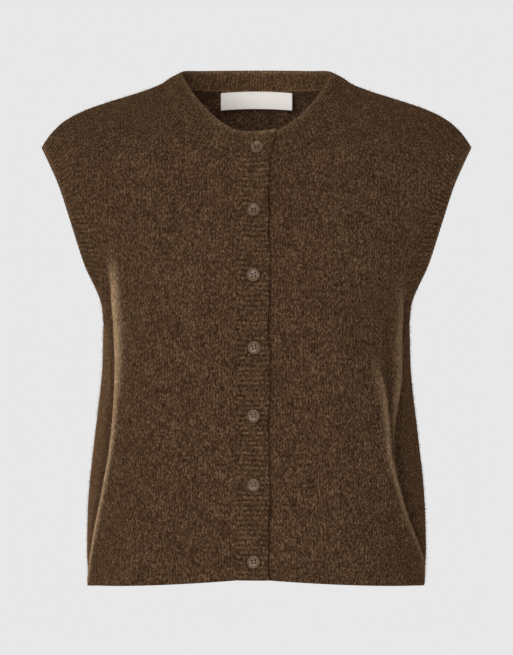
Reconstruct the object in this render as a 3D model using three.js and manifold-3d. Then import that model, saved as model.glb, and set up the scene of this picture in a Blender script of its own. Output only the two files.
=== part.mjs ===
// A knitted sleeveless cardigan vest, buttoned and filled out as when worn, with nothing inside it.
// Millimetres, +Z up. The front faces -Y and +X is the wearer's left.
// The origin lies midway between the wearer's shoulders, at the foot of the neckband.
// Every seam is one curve that both pieces share, and each piece stops half a seam gap short of it.

import * as THREE from 'three';
import { mergeVertices } from 'three/addons/utils/BufferGeometryUtils.js';
import Module from 'manifold-3d';

// Cloth and its layers
const WALL = 2.4;
const SEAM_GAP = 0.3;
const LAYER_STEP = 3.4;
const BAND_CROWN = 0.5;

// Rib knit of the bands
const RIB_PITCH = 4.8;
const RIB_HEIGHT = 0.6;

// Front fastening: the buttonhole band is sewn at the first place and ends at the second
const OVER_SEAM_X = -19;
const OVER_EDGE_X = 11;
const FRONT_BAND_COLUMNS = [OVER_SEAM_X, (OVER_SEAM_X + OVER_EDGE_X) / 2, OVER_EDGE_X];
const BUTTON_BAND_ROWS = 16;
const NECKBAND_LAP_X = 13;
const NECKBAND_LAP_SLANT = 0.75;

// Label
const LABEL_WIDTH = 72;
const LABEL_DROP = 17;
const LABEL_WALL = 1;
const LABEL_TOP = -4.6;
const LABEL_BELLY = 1.2;
const LABEL_DROOP = 2;
const LABEL_COLUMNS = 8;
const LABEL_ROWS = 3;

// Buttons
const BUTTON_RADIUS = 6.2;
const BUTTON_SEAT = 0.3;
const BUTTON_HOLE_RADIUS = 0.85;
const BUTTON_HOLE_PLACE = 1.5;
const BUTTON_HOLE_SIDES = 6;
const BUTTON_SIDES = 14;
const BUTTON_FOOT = 0.6;
const BUTTON_DRILL = 8;

// Small steps for slopes, and how finely curves are searched
const PLACE_STEP = 0.01;
const SEAM_STEP = 0.05;
const HALVINGS = 40;
const RIB_SEARCH = 600;
const SAME_PLACE = 1e-6;
const MERGE_DISTANCE = 1e-3;

// Turns a short table with named columns into a list of records
const table = (columns, rows) =>
  rows.map((row) => Object.fromEntries(columns.map((name, i) => [name, row[i]])));

// Depth of the worn form along the middle of the front and of the back
const FRONT_PROFILE = table(['z', 'y'], [
  [-488, -100], [-400, -104], [-300, -112], [-210, -117], [-150, -107], [-100, -92.5], [-81.3, -87],
]);
const BACK_PROFILE = table(['z', 'y'], [
  [-500, 99], [-400, 95], [-300, 92], [-210, 98], [-130, 103], [-60, 87], [-3.6, 64],
]);

// Half width at the side seams
const SIDE_PROFILE = table(['z', 'x'], [
  [-502, 167], [-470, 168.5], [-411, 166], [-350, 159], [-292, 153], [-243, 152.5],
]);

// Foot (seam) and free edge of the neckband, from the middle of the front over the shoulder to the back
const NECK = table(['seamX', 'seamY', 'seamZ', 'edgeX', 'edgeY', 'edgeZ'], [
  [0, -87, -81.3, 0, -75, -56.2],
  [26, -85, -78.2, 21.5, -72, -52.9],
  [47, -79, -68.5, 38, -64, -42.5],
  [64, -68, -54.5, 52, -51, -28.5],
  [78.5, -50, -36.5, 63.5, -33, -13.5],
  [88.5, -26, -18, 71.5, -13, 0],
  [93, 0, -1, 75, 6, 9.5],
  [86, 23, -1.5, 71, 21, 12.8],
  [66, 44, -3, 56, 38, 14.3],
  [36, 58, -3.4, 31, 51, 15.8],
  [0, 64, -3.6, 0, 56, 16.4],
]);
const NECK_SHOULDER = 6;
const NECK_BACK = 10;

// Foot and free edge of an armband, from the underarm up the front, over the shoulder and down the back
const ARMHOLE = table(['seamX', 'seamY', 'seamZ', 'edgeX', 'edgeY', 'edgeZ'], [
  [152.5, 0, -243, 152.5, 0, -222],
  [148.7, -37, -233, 155.2, -28, -213.5],
  [149.9, -56, -210, 162.4, -42, -199],
  [154.9, -64, -184, 169.9, -49, -181],
  [166.9, -62, -139, 182.9, -49, -140],
  [178.4, -54, -98, 193.9, -43, -107],
  [190.4, -33, -66, 205.4, -28, -82],
  [200.9, 0, -47, 214.4, 0, -65.5],
  [190.4, 35, -66, 205.4, 28, -82],
  [177.9, 55, -98, 193.4, 42, -107],
  [166.4, 63, -139, 182.4, 49, -140],
  [155.4, 64, -184, 169.4, 48, -181],
  [150.4, 54, -210, 161.9, 41, -199],
  [149.2, 36, -233, 155.2, 27, -213.5],
]);
const ARMHOLE_SHOULDER = 7;

// Cross sections of a front, hem to shoulder. Each runs from the front fastening or the neckband to the
// side or the armband. inner and outer name where it starts and ends. inner is a height up to the foot
// of the neckband, then a share of the way along that foot. outer is a height up to the underarm, then
// a row number of the armband. The other columns are how far and which way it sets off and arrives.
const SECTION = ['steps', 'inner', 'outer', 'reach', 'shift', 'drop', 'arrive', 'turn', 'rise'];
const FRONT_SECTIONS = table(SECTION, [
  [2, -488, -502, 88, 0, 7, 76, -99, 6],
  [2, -455, -470, 90, 0, 7, 80, -101, 5],
  [2, -400, -411, 92, 0, 2, 84, -103, 1],
  [2, -340, -350, 94, 0, 1, 84, -104, 0],
  [2, -282, -292, 95, 0, 1, 82, -102, 0],
  [2, -230, 0, 93, 0, 1, 76, -97, 3],
  [2, -194, 1.1, 88, 0, 0, 52, -112, 7],
  [2, -160, 2.3, 84, -1, 0, 48, -128, 10],
  [2, -122, 3.5, 76, -1, 4, 48, -140, 12],
  [2, 0, 4.5, 62, -3, 8, 46, -148, 15],
  [2, 0.33, 5.4, 44, -3, 5, 44, -157, 20],
  [3, 0.67, 6.25, 34, 0, 8, 33, -169, 19],
  [0, 1, 7, 29, 0, 15.5, 22.5, -180, 25],
]);
const BACK_SECTIONS = table(SECTION, [
  [2, -500, -502, 106, 2, 0, 80, 81, 0],
  [2, -466, -470, 108, 1, 0, 82, 79, 0],
  [2, -408, -411, 108, 0, 0, 84, 77, 0],
  [2, -348, -350, 106, 0, 0, 84, 76, 0],
  [2, -290, -292, 104, 0, 0, 84, 78, 0],
  [2, -238, 0, 102, 1, 0, 82, 83, 3],
  [2, -198, 1.1, 98, 3, 0, 58, 104, 7],
  [2, -156, 2.3, 94, 4, 0, 52, 122, 9],
  [2, -108, 3.5, 88, 5, 3, 52, 138, 12],
  [2, -56, 4.5, 76, 8, 8, 52, 146, 17],
  [3, 1, 5.4, 62, 14, 14, 50, 154, 24],
  [3, 0.5, 6.25, 44, 10, 12, 36, 167, 22],
  [0, 0, 7, 29, 0, 15.5, 22.5, 180, 25],
]);
const UNDERARM_ROW = 5;
const LOWEST_SHARE = -1;
const FRONT_COLUMNS = 22;
const BACK_COLUMNS = 14;

// Long folds down the sides. Each is a crest along its ridge, a line of heights and places across,
// with a trough beyond it on the side seam's side. The crest is as high as rise and the trough as deep
// as dip, near and lee are their widths before and beyond the ridge, and gap is how far apart they are.
const RIDGE = ['z', 'x'];
const FOLDS = [
  {
    piece: 'front', side: -1, low: -600, high: -165, rise: 6, dip: 6, near: 14, lee: 9, gap: 15,
    ridge: table(RIDGE, [
      [-520, 166], [-479, 160.4], [-446, 154.7], [-409, 147], [-366, 139], [-327, 135], [-287, 133.2],
      [-249, 134.2], [-212, 137.5], [-180, 142],
    ]),
  },
  {
    piece: 'front', side: 1, low: -400, high: -180, rise: 5, dip: 6, near: 12, lee: 9, gap: 14,
    ridge: table(RIDGE, [
      [-400, 135], [-370, 136], [-321, 137.5], [-287, 138.9], [-250, 138.8], [-224, 141.2], [-200, 146.7],
    ]),
  },
  {
    piece: 'front', side: 1, low: -600, high: -260, rise: 5, dip: 7, near: 17, lee: 11, gap: 19,
    ridge: table(RIDGE, [
      [-520, 167], [-477, 161.6], [-453, 153], [-429, 143.3], [-404, 136], [-371, 127],
      [-341, 124.4], [-304, 120.8], [-286, 116.7], [-260, 113],
    ]),
  },
  {
    piece: 'back', side: -1, low: -600, high: -220, rise: 4, dip: 4, near: 16, lee: 12, gap: 20,
    ridge: table(RIDGE, [[-520, 157], [-440, 150], [-360, 140], [-290, 136], [-220, 140]]),
  },
  {
    piece: 'back', side: 1, low: -600, high: -230, rise: 4, dip: 4, near: 16, lee: 12, gap: 20,
    ridge: table(RIDGE, [[-520, 155], [-430, 147], [-350, 137], [-280, 134], [-220, 138]]),
  },
];
const FOLD_FADE = 60;
const SEAM_FADE = 24;

// One column of each front's mesh runs along its guide, a line down the ridges, which keeps them crisp
const GUIDES = {
  '-1': FOLDS[0].ridge,
  1: table(RIDGE, [
    [-520, 167], [-477, 161.6], [-453, 153], [-429, 143.3], [-404, 136], [-371, 129], [-341, 128],
    [-304, 131], [-286, 135], [-250, 138.8], [-224, 141.2], [-200, 146.7],
  ]),
};
const GUIDE_COLUMN = 13;
const GUIDE_SEARCH = 300;
const GUIDE_REACH = [0.45, 0.84];
const GUIDE_EASE = 3;

// Buttons from the top: place across and height of each centre
const BUTTONS = table(['x', 'z'], [
  [0.5, -73], [-2.5, -132.5], [-2.5, -195.3], [-2, -264.6], [-2.5, -330], [-2.5, -396.4], [-2.5, -470.4],
]);

// Materials
const material = (red, green, blue, roughness) => new THREE.MeshStandardMaterial({
  color: new THREE.Color().setRGB(red / 255, green / 255, blue / 255, 'srgb'),
  roughness,
  metalness: 0,
});
const WOOL = material(77, 58, 43, 0.95);
const RIB_WOOL = material(83, 64, 49, 0.95);
const LABEL_CLOTH = material(226, 221, 217, 0.8);
const BUTTON_HORN = material(130, 110, 95, 0.45);

// Small vector helpers on [x, y, z]
const add = (a, b) => [a[0] + b[0], a[1] + b[1], a[2] + b[2]];
const minus = (a, b) => [a[0] - b[0], a[1] - b[1], a[2] - b[2]];
const times = (a, k) => [a[0] * k, a[1] * k, a[2] * k];
const moved = (a, direction, distance) => add(a, times(direction, distance));
const between = (a, b, t) => add(times(a, 1 - t), times(b, t));
const cross = (a, b) => [a[1] * b[2] - a[2] * b[1], a[2] * b[0] - a[0] * b[2], a[0] * b[1] - a[1] * b[0]];
const size = (a) => Math.hypot(a[0], a[1], a[2]);
const unit = (a) => times(a, 1 / size(a));
const mirrored = (a, side) => [a[0] * side, a[1], a[2]];
const smooth = (t) => {
  const s = Math.min(Math.max(t, 0), 1);
  return s * s * (3 - 2 * s);
};
const steps = (count) => Array.from({ length: count + 1 }, (_, i) => i / count);

// Smooth curve through values at rising knots: cubic Hermite pieces with slopes from the neighbours
function curveThrough(knots, values) {
  const last = knots.length - 1;
  const slope = (i) => {
    const a = Math.max(i - 1, 0);
    const b = Math.min(i + 1, last);
    return (values[b] - values[a]) / (knots[b] - knots[a]);
  };
  return (t) => {
    let i = 0;
    while (i < last - 1 && t > knots[i + 1]) i += 1;
    const span = knots[i + 1] - knots[i];
    const s = (t - knots[i]) / span;
    const s2 = s * s;
    const s3 = s2 * s;
    return (2 * s3 - 3 * s2 + 1) * values[i] + (s3 - 2 * s2 + s) * span * slope(i)
      + (3 * s2 - 2 * s3) * values[i + 1] + (s3 - s2) * span * slope(i + 1);
  };
}

const byHeight = (rows, column) => curveThrough(rows.map((r) => r.z), rows.map((r) => r[column]));
const frontDepth = byHeight(FRONT_PROFILE, 'y');
const backDepth = byHeight(BACK_PROFILE, 'y');
const SIDE_RISING = [...SIDE_PROFILE].sort((a, b) => a.z - b.z);
const sideWidth = byHeight(SIDE_RISING, 'x');

// Closed curve through the rows of a band table, by row number
function ring(rows, prefix) {
  const last = rows.length;
  const at = (axis, i) => rows[((i % last) + last) % last][prefix + axis];
  const coordinate = (axis, t) => {
    const i = Math.floor(t);
    const s = t - i;
    const [a, b, c, d] = [-1, 0, 1, 2].map((k) => at(axis, i + k));
    return b + 0.5 * s * (c - a + s * (2 * a - 5 * b + 4 * c - d + s * (3 * (b - c) + d - a)));
  };
  return (t) => ['X', 'Y', 'Z'].map((axis) => coordinate(axis, t));
}

// The neck table mirrored into a whole ring. Row numbers rise towards the wearer's right shoulder.
const flipX = (row, sign) => ({ ...row, seamX: sign * row.seamX, edgeX: sign * row.edgeX });
const NECK_RING = [
  ...NECK.map((row) => flipX(row, -1)),
  ...NECK.slice(1, -1).reverse().map((row) => flipX(row, 1)),
];
const NECK_TURN = NECK_RING.length;
const neckSeam = ring(NECK_RING, 'seam');
const neckEdge = ring(NECK_RING, 'edge');
const armSeam = ring(ARMHOLE, 'seam');
const armEdge = ring(ARMHOLE, 'edge');

// Frame of a band at a row number: along its seam, out of the cloth, and across it to the free edge
function bandFrame(seam, edge, t) {
  const point = seam(t);
  const across = unit(minus(edge(t), point));
  const along = (line) => unit(minus(line(t + SEAM_STEP), line(t - SEAM_STEP)));
  const seamLine = along(seam);
  const out = unit(cross(across, add(seamLine, along(edge))));
  const inward = unit(cross(seamLine, out));
  return { point, out, inward };
}
const neckFrame = (t) => bandFrame(neckSeam, neckEdge, t);
const armFrame = (t) => bandFrame(armSeam, armEdge, t);

// Row number on the neck ring where its seam crosses a given x at the front
function neckPlace(x) {
  let low = -2;
  let high = 2;
  for (let i = 0; i < HALVINGS; i += 1) {
    const middle = (low + high) / 2;
    if (neckSeam(middle)[0] > x) low = middle;
    else high = middle;
  }
  return (low + high) / 2;
}

// How far the buttonhole band stands out over the button band. It grows from nothing at its seam.
const overLevel = (x) => LAYER_STEP * smooth((x - OVER_SEAM_X) / (OVER_EDGE_X - OVER_SEAM_X));
const underLevel = (x) => overLevel(x) - LAYER_STEP;
const frontOut = (z) => {
  const slope = (frontDepth(z + 1) - frontDepth(z - 1)) / 2;
  return unit([0, -1, -slope]);
};

// The first section that starts on the foot of the neckband
const neckCorner = (sections) => sections.findIndex((row) => row.inner > LOWEST_SHARE);

// Half a body, front or back, as one family of cross sections. side is -1 for the wearer's right.
function bodyHalf(name, sections, side) {
  const front = name === 'front';
  const last = sections.length - 1;
  const corner = neckCorner(sections);
  const innerX = front ? (side < 0 ? -OVER_SEAM_X : OVER_EDGE_X) : 0;
  const cornerPlace = front ? Math.abs(neckPlace(-innerX)) : NECK_BACK;
  const depth = front ? frontDepth : backDepth;
  const outward = front ? -1 : 1;

  // Columns of the table as curves. Past the shoulder they run on down the other panel, so that
  // the cloth is level across the shoulder seam.
  const other = front ? BACK_SECTIONS : FRONT_SECTIONS;
  const column = (key) => {
    const here = sections.map((row) => row[key]);
    return curveThrough([...here.keys(), last + 1], [...here, other[last - 1][key]]);
  };
  const curved = ['reach', 'shift', 'drop', 'arrive', 'rise'];
  const columns = Object.fromEntries(curved.map((key) => [key, column(key)]));
  const turns = sections.map((row) => row.turn);
  const turnAt = curveThrough([...turns.keys()], turns);

  // A place part way between two table rows, in the unit of one column
  const mixed = (v, key) => {
    const i = Math.min(Math.floor(v), last - 1);
    return sections[i][key] + (v - i) * (sections[i + 1][key] - sections[i][key]);
  };
  const neckAt = (v) => {
    const start = sections[corner].inner;
    const share = (mixed(Math.max(v, corner), 'inner') - start) / (sections[last].inner - start);
    return cornerPlace + share * (NECK_SHOULDER - cornerPlace);
  };
  const innerHeight = (v) => {
    const top = front ? neckSeam(cornerPlace)[2] : NECK[NECK_BACK].seamZ;
    const i = Math.min(Math.floor(v), corner - 1);
    const next = i + 1 < corner ? sections[i + 1].inner : top;
    return sections[i].inner + (v - i) * (next - sections[i].inner);
  };
  const armAt = (v) => (front ? mixed(v, 'outer') : 2 * ARMHOLE_SHOULDER - mixed(v, 'outer'));
  const sideHeight = (v) => {
    const i = Math.min(Math.floor(v), UNDERARM_ROW - 1);
    const next = i + 1 < UNDERARM_ROW ? sections[i + 1].outer : ARMHOLE[0].seamZ;
    return sections[i].outer + (v - i) * (next - sections[i].outer);
  };

  // Ends of a section, on the half with x above zero
  const inner = (v) => {
    if (v >= corner) return mirrored(neckSeam(neckAt(v)), -1);
    const z = innerHeight(v);
    return [innerX, depth(z), z];
  };
  const outer = (v) => {
    if (v >= UNDERARM_ROW) return armSeam(armAt(v));
    const z = sideHeight(v);
    return [sideWidth(z), 0, z];
  };
  const arrival = (v) => {
    const angle = (turnAt(v) * Math.PI) / 180;
    return [Math.cos(angle) * columns.arrive(v), Math.sin(angle) * columns.arrive(v), columns.rise(v)];
  };
  const handles = (v) => {
    const start = inner(v);
    const end = outer(v);
    const first = add(start, [columns.reach(v), outward * columns.shift(v), -columns.drop(v)]);
    return [start, first, add(end, arrival(v)), end];
  };
  const bezier = ([a, b, c, d], u) => {
    const w = 1 - u;
    const near = add(times(a, w * w * w), times(b, 3 * w * w * u));
    return add(near, add(times(c, 3 * w * u * u), times(d, u * u * u)));
  };
  const plain = (u, v) => bezier(handles(v), u);

  // Direction out of the cloth, from two small steps on the surface
  const normal = (u, v) => {
    const alongU = minus(plain(u + PLACE_STEP, v), plain(u - PLACE_STEP, v));
    const alongV = minus(plain(u, v + PLACE_STEP), plain(u, Math.max(v - PLACE_STEP, 0)));
    return times(unit(cross(alongU, alongV)), -outward);
  };

  const folds = FOLDS.filter((fold) => fold.piece === name && fold.side === side);

  return { front, last, corner, outer, plain, normal, folds, neckAt, armAt, turnAt };
}

// Rows of the mesh, as places between the table's rows
const meshRows = (sections) => {
  const rows = sections.slice(0, -1).flatMap((row, i) => steps(row.steps).slice(0, -1).map((t) => i + t));
  return [...rows, sections.length - 1];
};

// How far along a row of places its line crosses a ridge, by the distances along the row
function crossing(ridge, places, along) {
  const x = byHeight(ridge, 'x');
  const beyond = places.map((p) => p[0] - x(p[2]));
  const j = beyond.findIndex((value, i) => i > 0 && value >= 0 && beyond[i - 1] < 0);
  if (j < 0) return Infinity;
  const share = beyond[j - 1] / (beyond[j - 1] - beyond[j]);
  return along[j - 1] + share * (along[j] - along[j - 1]);
}

// How far one fold stands out at a height, at a distance beyond its ridge
function foldHeight(fold, z, beyond) {
  const fade = smooth((z - fold.low) / FOLD_FADE) * smooth((fold.high - z) / FOLD_FADE);
  const crest = fold.rise * Math.exp(-((beyond / (beyond < 0 ? fold.near : fold.lee)) ** 2));
  const trough = fold.dip * Math.exp(-(((beyond - fold.gap) / fold.lee) ** 2));
  return fade * (crest - trough);
}

// Shares of a row where its columns stand. Above the underarm the guided one eases to its even place.
function columnShares(half, v, side, columnCount) {
  const even = steps(columnCount);
  if (!half.front) return even;
  const x = byHeight(GUIDES[side], 'x');
  const [least, most] = GUIDE_REACH;
  const found = steps(GUIDE_SEARCH).find((u) => {
    const place = half.plain(u, v);
    return place[0] >= x(place[2]);
  });
  const guided = Math.min(Math.max(found ?? most, least), most);
  const middle = GUIDE_COLUMN / columnCount;
  const place = guided + (middle - guided) * smooth((v - UNDERARM_ROW) / GUIDE_EASE);
  return even.map((t) => (t < middle ? (t * place) / middle : 1 - ((1 - t) * (1 - place)) / (1 - middle)));
}

// Points of half a panel and the direction of its wall at each
function halfGrid(half, sections, side, columnCount) {
  const rows = meshRows(sections);
  return rows.map((v) => {
    const shares = columnShares(half, v, side, columnCount);
    const places = shares.map((u) => half.plain(u, v));
    const along = [0];
    places.slice(1).forEach((place, j) => along.push(along[j] + size(minus(place, places[j]))));
    const ridges = half.folds.map((fold) => crossing(fold.ridge, places, along));
    return places.map((place, j) => {
      const heights = half.folds.map((fold, k) => foldHeight(fold, place[2], along[j] - ridges[k]));
      const height = heights.reduce((a, b) => a + b, 0) * smooth((along[columnCount] - along[j]) / SEAM_FADE);
      let out = half.normal(shares[j], v);
      let point = moved(place, out, height);
      if (j === columnCount) {
        if (v >= UNDERARM_ROW) {
          const frame = armFrame(half.armAt(v));
          out = frame.out;
          point = moved(point, frame.inward, -SEAM_GAP / 2);
        } else {
          out = sideOut(v);
        }
        if (v <= UNDERARM_ROW) point = add(point, [0, half.front ? -SEAM_GAP / 2 : SEAM_GAP / 2, 0]);
      }
      if (j === 0 && v >= half.corner) {
        const frame = neckFrame(half.neckAt(v));
        out = mirrored(frame.out, -1);
        point = moved(point, mirrored(frame.inward, -1), -SEAM_GAP / 2);
      }
      if (j === 0 && half.front && v <= half.corner) {
        if (v < half.corner) out = frontOut(place[2]);
        point = add(point, [SEAM_GAP / 2, 0, 0]);
      }
      if (j === 0 && !half.front) out = [0, out[1], out[2]];
      if (v === half.last) point = add(point, [0, half.front ? -SEAM_GAP / 2 : SEAM_GAP / 2, 0]);
      return { point: mirrored(point, side), out: mirrored(unit(out), side) };
    });
  });
}

// Wall direction on the side seam, the same for the front and the back
const sideHalf = bodyHalf('front', FRONT_SECTIONS, -1);
function sideOut(v) {
  const angle = (sideHalf.turnAt(v) * Math.PI) / 180;
  const rowLine = [Math.cos(angle), Math.sin(angle), 0];
  const below = sideHalf.outer(Math.max(v - PLACE_STEP, 0));
  return unit(cross(unit(minus(sideHalf.outer(v + PLACE_STEP), below)), rowLine));
}

// A sheet of cloth grows into a closed wall: outer points, the same points moved in, and a rim
// round every free edge. Each face is three numbers, which count the sheet's points.
function wallOf(sheet, faces, wall = WALL) {
  const positions = [];
  const outerPoint = (i) => sheet[i].point;
  const innerPoint = (i) => moved(sheet[i].point, sheet[i].out, -wall);
  const push = (...points) => points.forEach((p) => positions.push(...p));
  const edges = new Map();
  for (const [a, b, c] of faces) {
    push(outerPoint(a), outerPoint(b), outerPoint(c));
    push(innerPoint(a), innerPoint(c), innerPoint(b));
    for (const [from, to] of [[a, b], [b, c], [c, a]]) {
      if (edges.has(`${to} ${from}`)) edges.delete(`${to} ${from}`);
      else edges.set(`${from} ${to}`, [from, to]);
    }
  }
  for (const [from, to] of edges.values()) {
    push(outerPoint(to), outerPoint(from), innerPoint(from));
    push(outerPoint(to), innerPoint(from), innerPoint(to));
  }
  return solidFrom(positions);
}

// Geometry from loose triangles, turned round if they face inwards
function solidFrom(positions) {
  let volume = 0;
  for (let i = 0; i < positions.length; i += 9) {
    const [a, b, c] = [0, 3, 6].map((k) => positions.slice(i + k, i + k + 3));
    const d = cross(b, c);
    volume += a[0] * d[0] + a[1] * d[1] + a[2] * d[2];
  }
  if (volume < 0) {
    for (let i = 0; i < positions.length; i += 9) {
      const b = positions.slice(i + 3, i + 6);
      const c = positions.slice(i + 6, i + 9);
      positions.splice(i + 3, 6, ...c, ...b);
    }
  }
  const geometry = new THREE.BufferGeometry();
  geometry.setAttribute('position', new THREE.Float32BufferAttribute(positions, 3));
  geometry.computeVertexNormals();
  return geometry;
}

// Faces of a grid of points counted row by row
function gridFaces(rowCount, columnCount) {
  const faces = [];
  for (let i = 0; i + 1 < rowCount; i += 1) {
    for (let j = 0; j + 1 < columnCount; j += 1) {
      const a = i * columnCount + j;
      faces.push([a, a + 1, a + columnCount + 1], [a, a + columnCount + 1, a + columnCount]);
    }
  }
  return faces;
}

function frontPanel(side) {
  const half = bodyHalf('front', FRONT_SECTIONS, side);
  const grid = halfGrid(half, FRONT_SECTIONS, side, FRONT_COLUMNS);
  return wallOf(grid.flat(), gridFaces(grid.length, FRONT_COLUMNS + 1));
}

// The back is two mirrored halves that share the points of the middle line, up to the neck
function backPanel() {
  const halves = [-1, 1].map((side) => {
    const half = bodyHalf('back', BACK_SECTIONS, side);
    return halfGrid(half, BACK_SECTIONS, side, BACK_COLUMNS);
  });
  const [right, left] = halves.map((grid) => grid.flat());
  const width = BACK_COLUMNS + 1;
  const corner = meshRows(BACK_SECTIONS).indexOf(neckCorner(BACK_SECTIONS));
  const sheet = [...right, ...left];
  const shared = (i) => (i % width === 0 && i / width <= corner ? i : i + right.length);
  const faces = gridFaces(halves[0].length, width);
  const turned = faces.map(([a, b, c]) => [shared(a), shared(c), shared(b)]);
  return wallOf(sheet, [...faces, ...turned]);
}

// Points where panels end on a band's seam. Bands follow the straight stretches between them.
function seamKnots() {
  const neck = FRONT_BAND_COLUMNS.map((x) => neckPlace(x));
  const arm = [];
  for (const side of [-1, 1]) {
    for (const [name, sections] of [['front', FRONT_SECTIONS], ['back', BACK_SECTIONS]]) {
      const half = bodyHalf(name, sections, side);
      for (const v of meshRows(sections)) {
        if (v >= half.corner) neck.push(side < 0 ? half.neckAt(v) : NECK_TURN - half.neckAt(v));
        if (v >= UNDERARM_ROW && side < 0) arm.push(half.armAt(v));
      }
    }
  }
  const tidy = (list, turn) => {
    const around = list.flatMap((t) => [t - turn, t, t + turn]).sort((a, b) => a - b);
    return around.filter((t, i) => i === 0 || t - around[i - 1] > SAME_PLACE);
  };
  return { neck: tidy(neck, NECK_TURN), arm: tidy(arm, 2 * ARMHOLE_SHOULDER) };
}
const KNOTS = seamKnots();

// Frame on a band's seam, on the straight stretch between two knots
function straightFrame(frameAt, knots, t) {
  const i = knots.findIndex((knot) => knot > t) - 1;
  const share = (t - knots[i]) / (knots[i + 1] - knots[i]);
  const [a, b] = [frameAt(knots[i]), frameAt(knots[i + 1])];
  return {
    point: between(a.point, b.point, share),
    out: between(a.out, b.out, share),
    inward: between(a.inward, b.inward, share),
  };
}

// Row numbers that lie evenly along a band's middle, a rib apart, with half steps between
function ribPlaces(seam, edge, start, end) {
  const fine = steps(RIB_SEARCH).map((t) => start + t * (end - start));
  const middles = fine.map((t) => between(seam(t), edge(t), 0.5));
  const lengths = [0];
  for (let i = 1; i < fine.length; i += 1) {
    lengths.push(lengths[i - 1] + size(minus(middles[i], middles[i - 1])));
  }
  const total = lengths[lengths.length - 1];
  const ribs = Math.round(total / RIB_PITCH);
  return steps(ribs * 2).map((share) => {
    const target = share * total;
    let i = 1;
    while (i < lengths.length - 1 && lengths[i] < target) i += 1;
    const part = (target - lengths[i - 1]) / (lengths[i] - lengths[i - 1]);
    return fine[i - 1] + part * (fine[i] - fine[i - 1]);
  });
}

// A ribbed band from rows of frames. Each row holds points from the seam to the free edge. Outside,
// every second row is a raised rib. Inside, one plain row answers to each rib, at the columns named.
function ribbedWall(rows, insideColumns, closed) {
  const count = rows.length;
  const right = rows[0].length - 1;
  const pairs = insideColumns.slice(1).map((b, k) => [insideColumns[k], b]);
  const positions = [];
  const push = (...points) => points.forEach((p) => positions.push(...p));
  const at = (i, j) => {
    const { point, out } = rows[i % count][j];
    return i % 2 ? moved(point, out, RIB_HEIGHT) : point;
  };
  const inside = (i, j) => moved(rows[i % count][j].point, rows[i % count][j].out, -WALL);
  const end = closed ? count : count - 1;
  for (let i = 0; i < end; i += 1) {
    for (let j = 0; j < right; j += 1) {
      push(at(i, j), at(i, j + 1), at(i + 1, j + 1));
      push(at(i, j), at(i + 1, j + 1), at(i + 1, j));
    }
  }
  for (let i = 0; i < end; i += 2) {
    for (const [a, b] of pairs) {
      push(inside(i, a), inside(i + 2, b), inside(i, b));
      push(inside(i, a), inside(i + 2, a), inside(i + 2, b));
    }
    push(at(i + 1, 0), inside(i, 0), at(i, 0));
    push(at(i + 1, 0), inside(i + 2, 0), inside(i, 0));
    push(at(i + 2, 0), inside(i + 2, 0), at(i + 1, 0));
    push(at(i + 1, right), at(i, right), inside(i, right));
    push(at(i + 1, right), inside(i, right), inside(i + 2, right));
    push(at(i + 2, right), at(i + 1, right), inside(i + 2, right));
  }
  if (!closed) {
    for (const [a, b] of pairs) {
      for (let j = a; j < b; j += 1) {
        push(inside(0, a), at(0, j + 1), at(0, j));
        push(inside(end, a), at(end, j), at(end, j + 1));
      }
      push(inside(0, a), inside(0, b), at(0, b));
      push(inside(end, a), at(end, b), inside(end, b));
    }
  }
  return solidFrom(positions);
}

// Three points across a band, from its seam to its free edge, with a low crown between
function acrossBand(frame, edge, level) {
  const seam = moved(moved(frame.point, unit(frame.inward), SEAM_GAP / 2), frame.out, level[0]);
  const free = moved(edge, frame.out, level[2]);
  const straight = between(frame.point, edge, 0.5);
  const middle = moved(straight, frame.out, BAND_CROWN + level[1]);
  return [seam, middle, free].map((point) => ({ point, out: frame.out }));
}

function neckband() {
  const start = neckPlace(NECKBAND_LAP_X);
  const end = NECK_TURN + neckPlace(OVER_SEAM_X);
  const places = ribPlaces(neckSeam, neckEdge, start, end);
  const rows = places.map((t) => {
    const frame = straightFrame(neckFrame, KNOTS.neck, t);
    const slanted = t < 0 ? t * (1 + NECKBAND_LAP_SLANT) : t;
    const edge = neckEdge(slanted);
    const across = [frame.point, between(frame.point, edge, 0.5), edge];
    const levels = across.map((p) => {
      if (t < NECK_SHOULDER) return overLevel(p[0]);
      return t > NECK_TURN - NECK_SHOULDER ? underLevel(p[0]) : 0;
    });
    return acrossBand(frame, edge, levels);
  });
  return ribbedWall(rows, [0, 2], false);
}

function armband(side) {
  const places = ribPlaces(armSeam, armEdge, 0, 2 * ARMHOLE_SHOULDER).slice(0, -1);
  const rows = places.map((t) => {
    const frame = straightFrame(armFrame, KNOTS.arm, t);
    const points = acrossBand(frame, armEdge(t), [0, 0, 0]);
    return points.map(({ point, out }) => ({ point: mirrored(point, side), out: mirrored(out, side) }));
  });
  return ribbedWall(rows, [0, 2], true);
}

// A row across one of the two front bands, at a share of its height from the hem to the neckband
function frontBandRow(share, level, gap) {
  return FRONT_BAND_COLUMNS.map((x, j) => {
    const foot = neckFrame(neckPlace(x));
    const z = FRONT_SECTIONS[0].inner + share * (foot.point[2] - FRONT_SECTIONS[0].inner);
    let point = [x, frontDepth(z), z];
    let out = frontOut(z);
    if (share === 1) {
      point = moved(foot.point, foot.inward, -SEAM_GAP / 2);
      out = foot.out;
    }
    point = add(moved(point, out, level(x)), [gap[j], 0, 0]);
    return { point, out };
  });
}

function buttonholeBand() {
  const length = NECK[0].seamZ - FRONT_SECTIONS[0].inner;
  const count = 2 * Math.round(length / RIB_PITCH);
  const gap = [SEAM_GAP / 2, 0, 0];
  const rows = steps(count).map((share) => frontBandRow(share, overLevel, gap));
  return ribbedWall(rows, [0, 1, 2], false);
}

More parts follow.
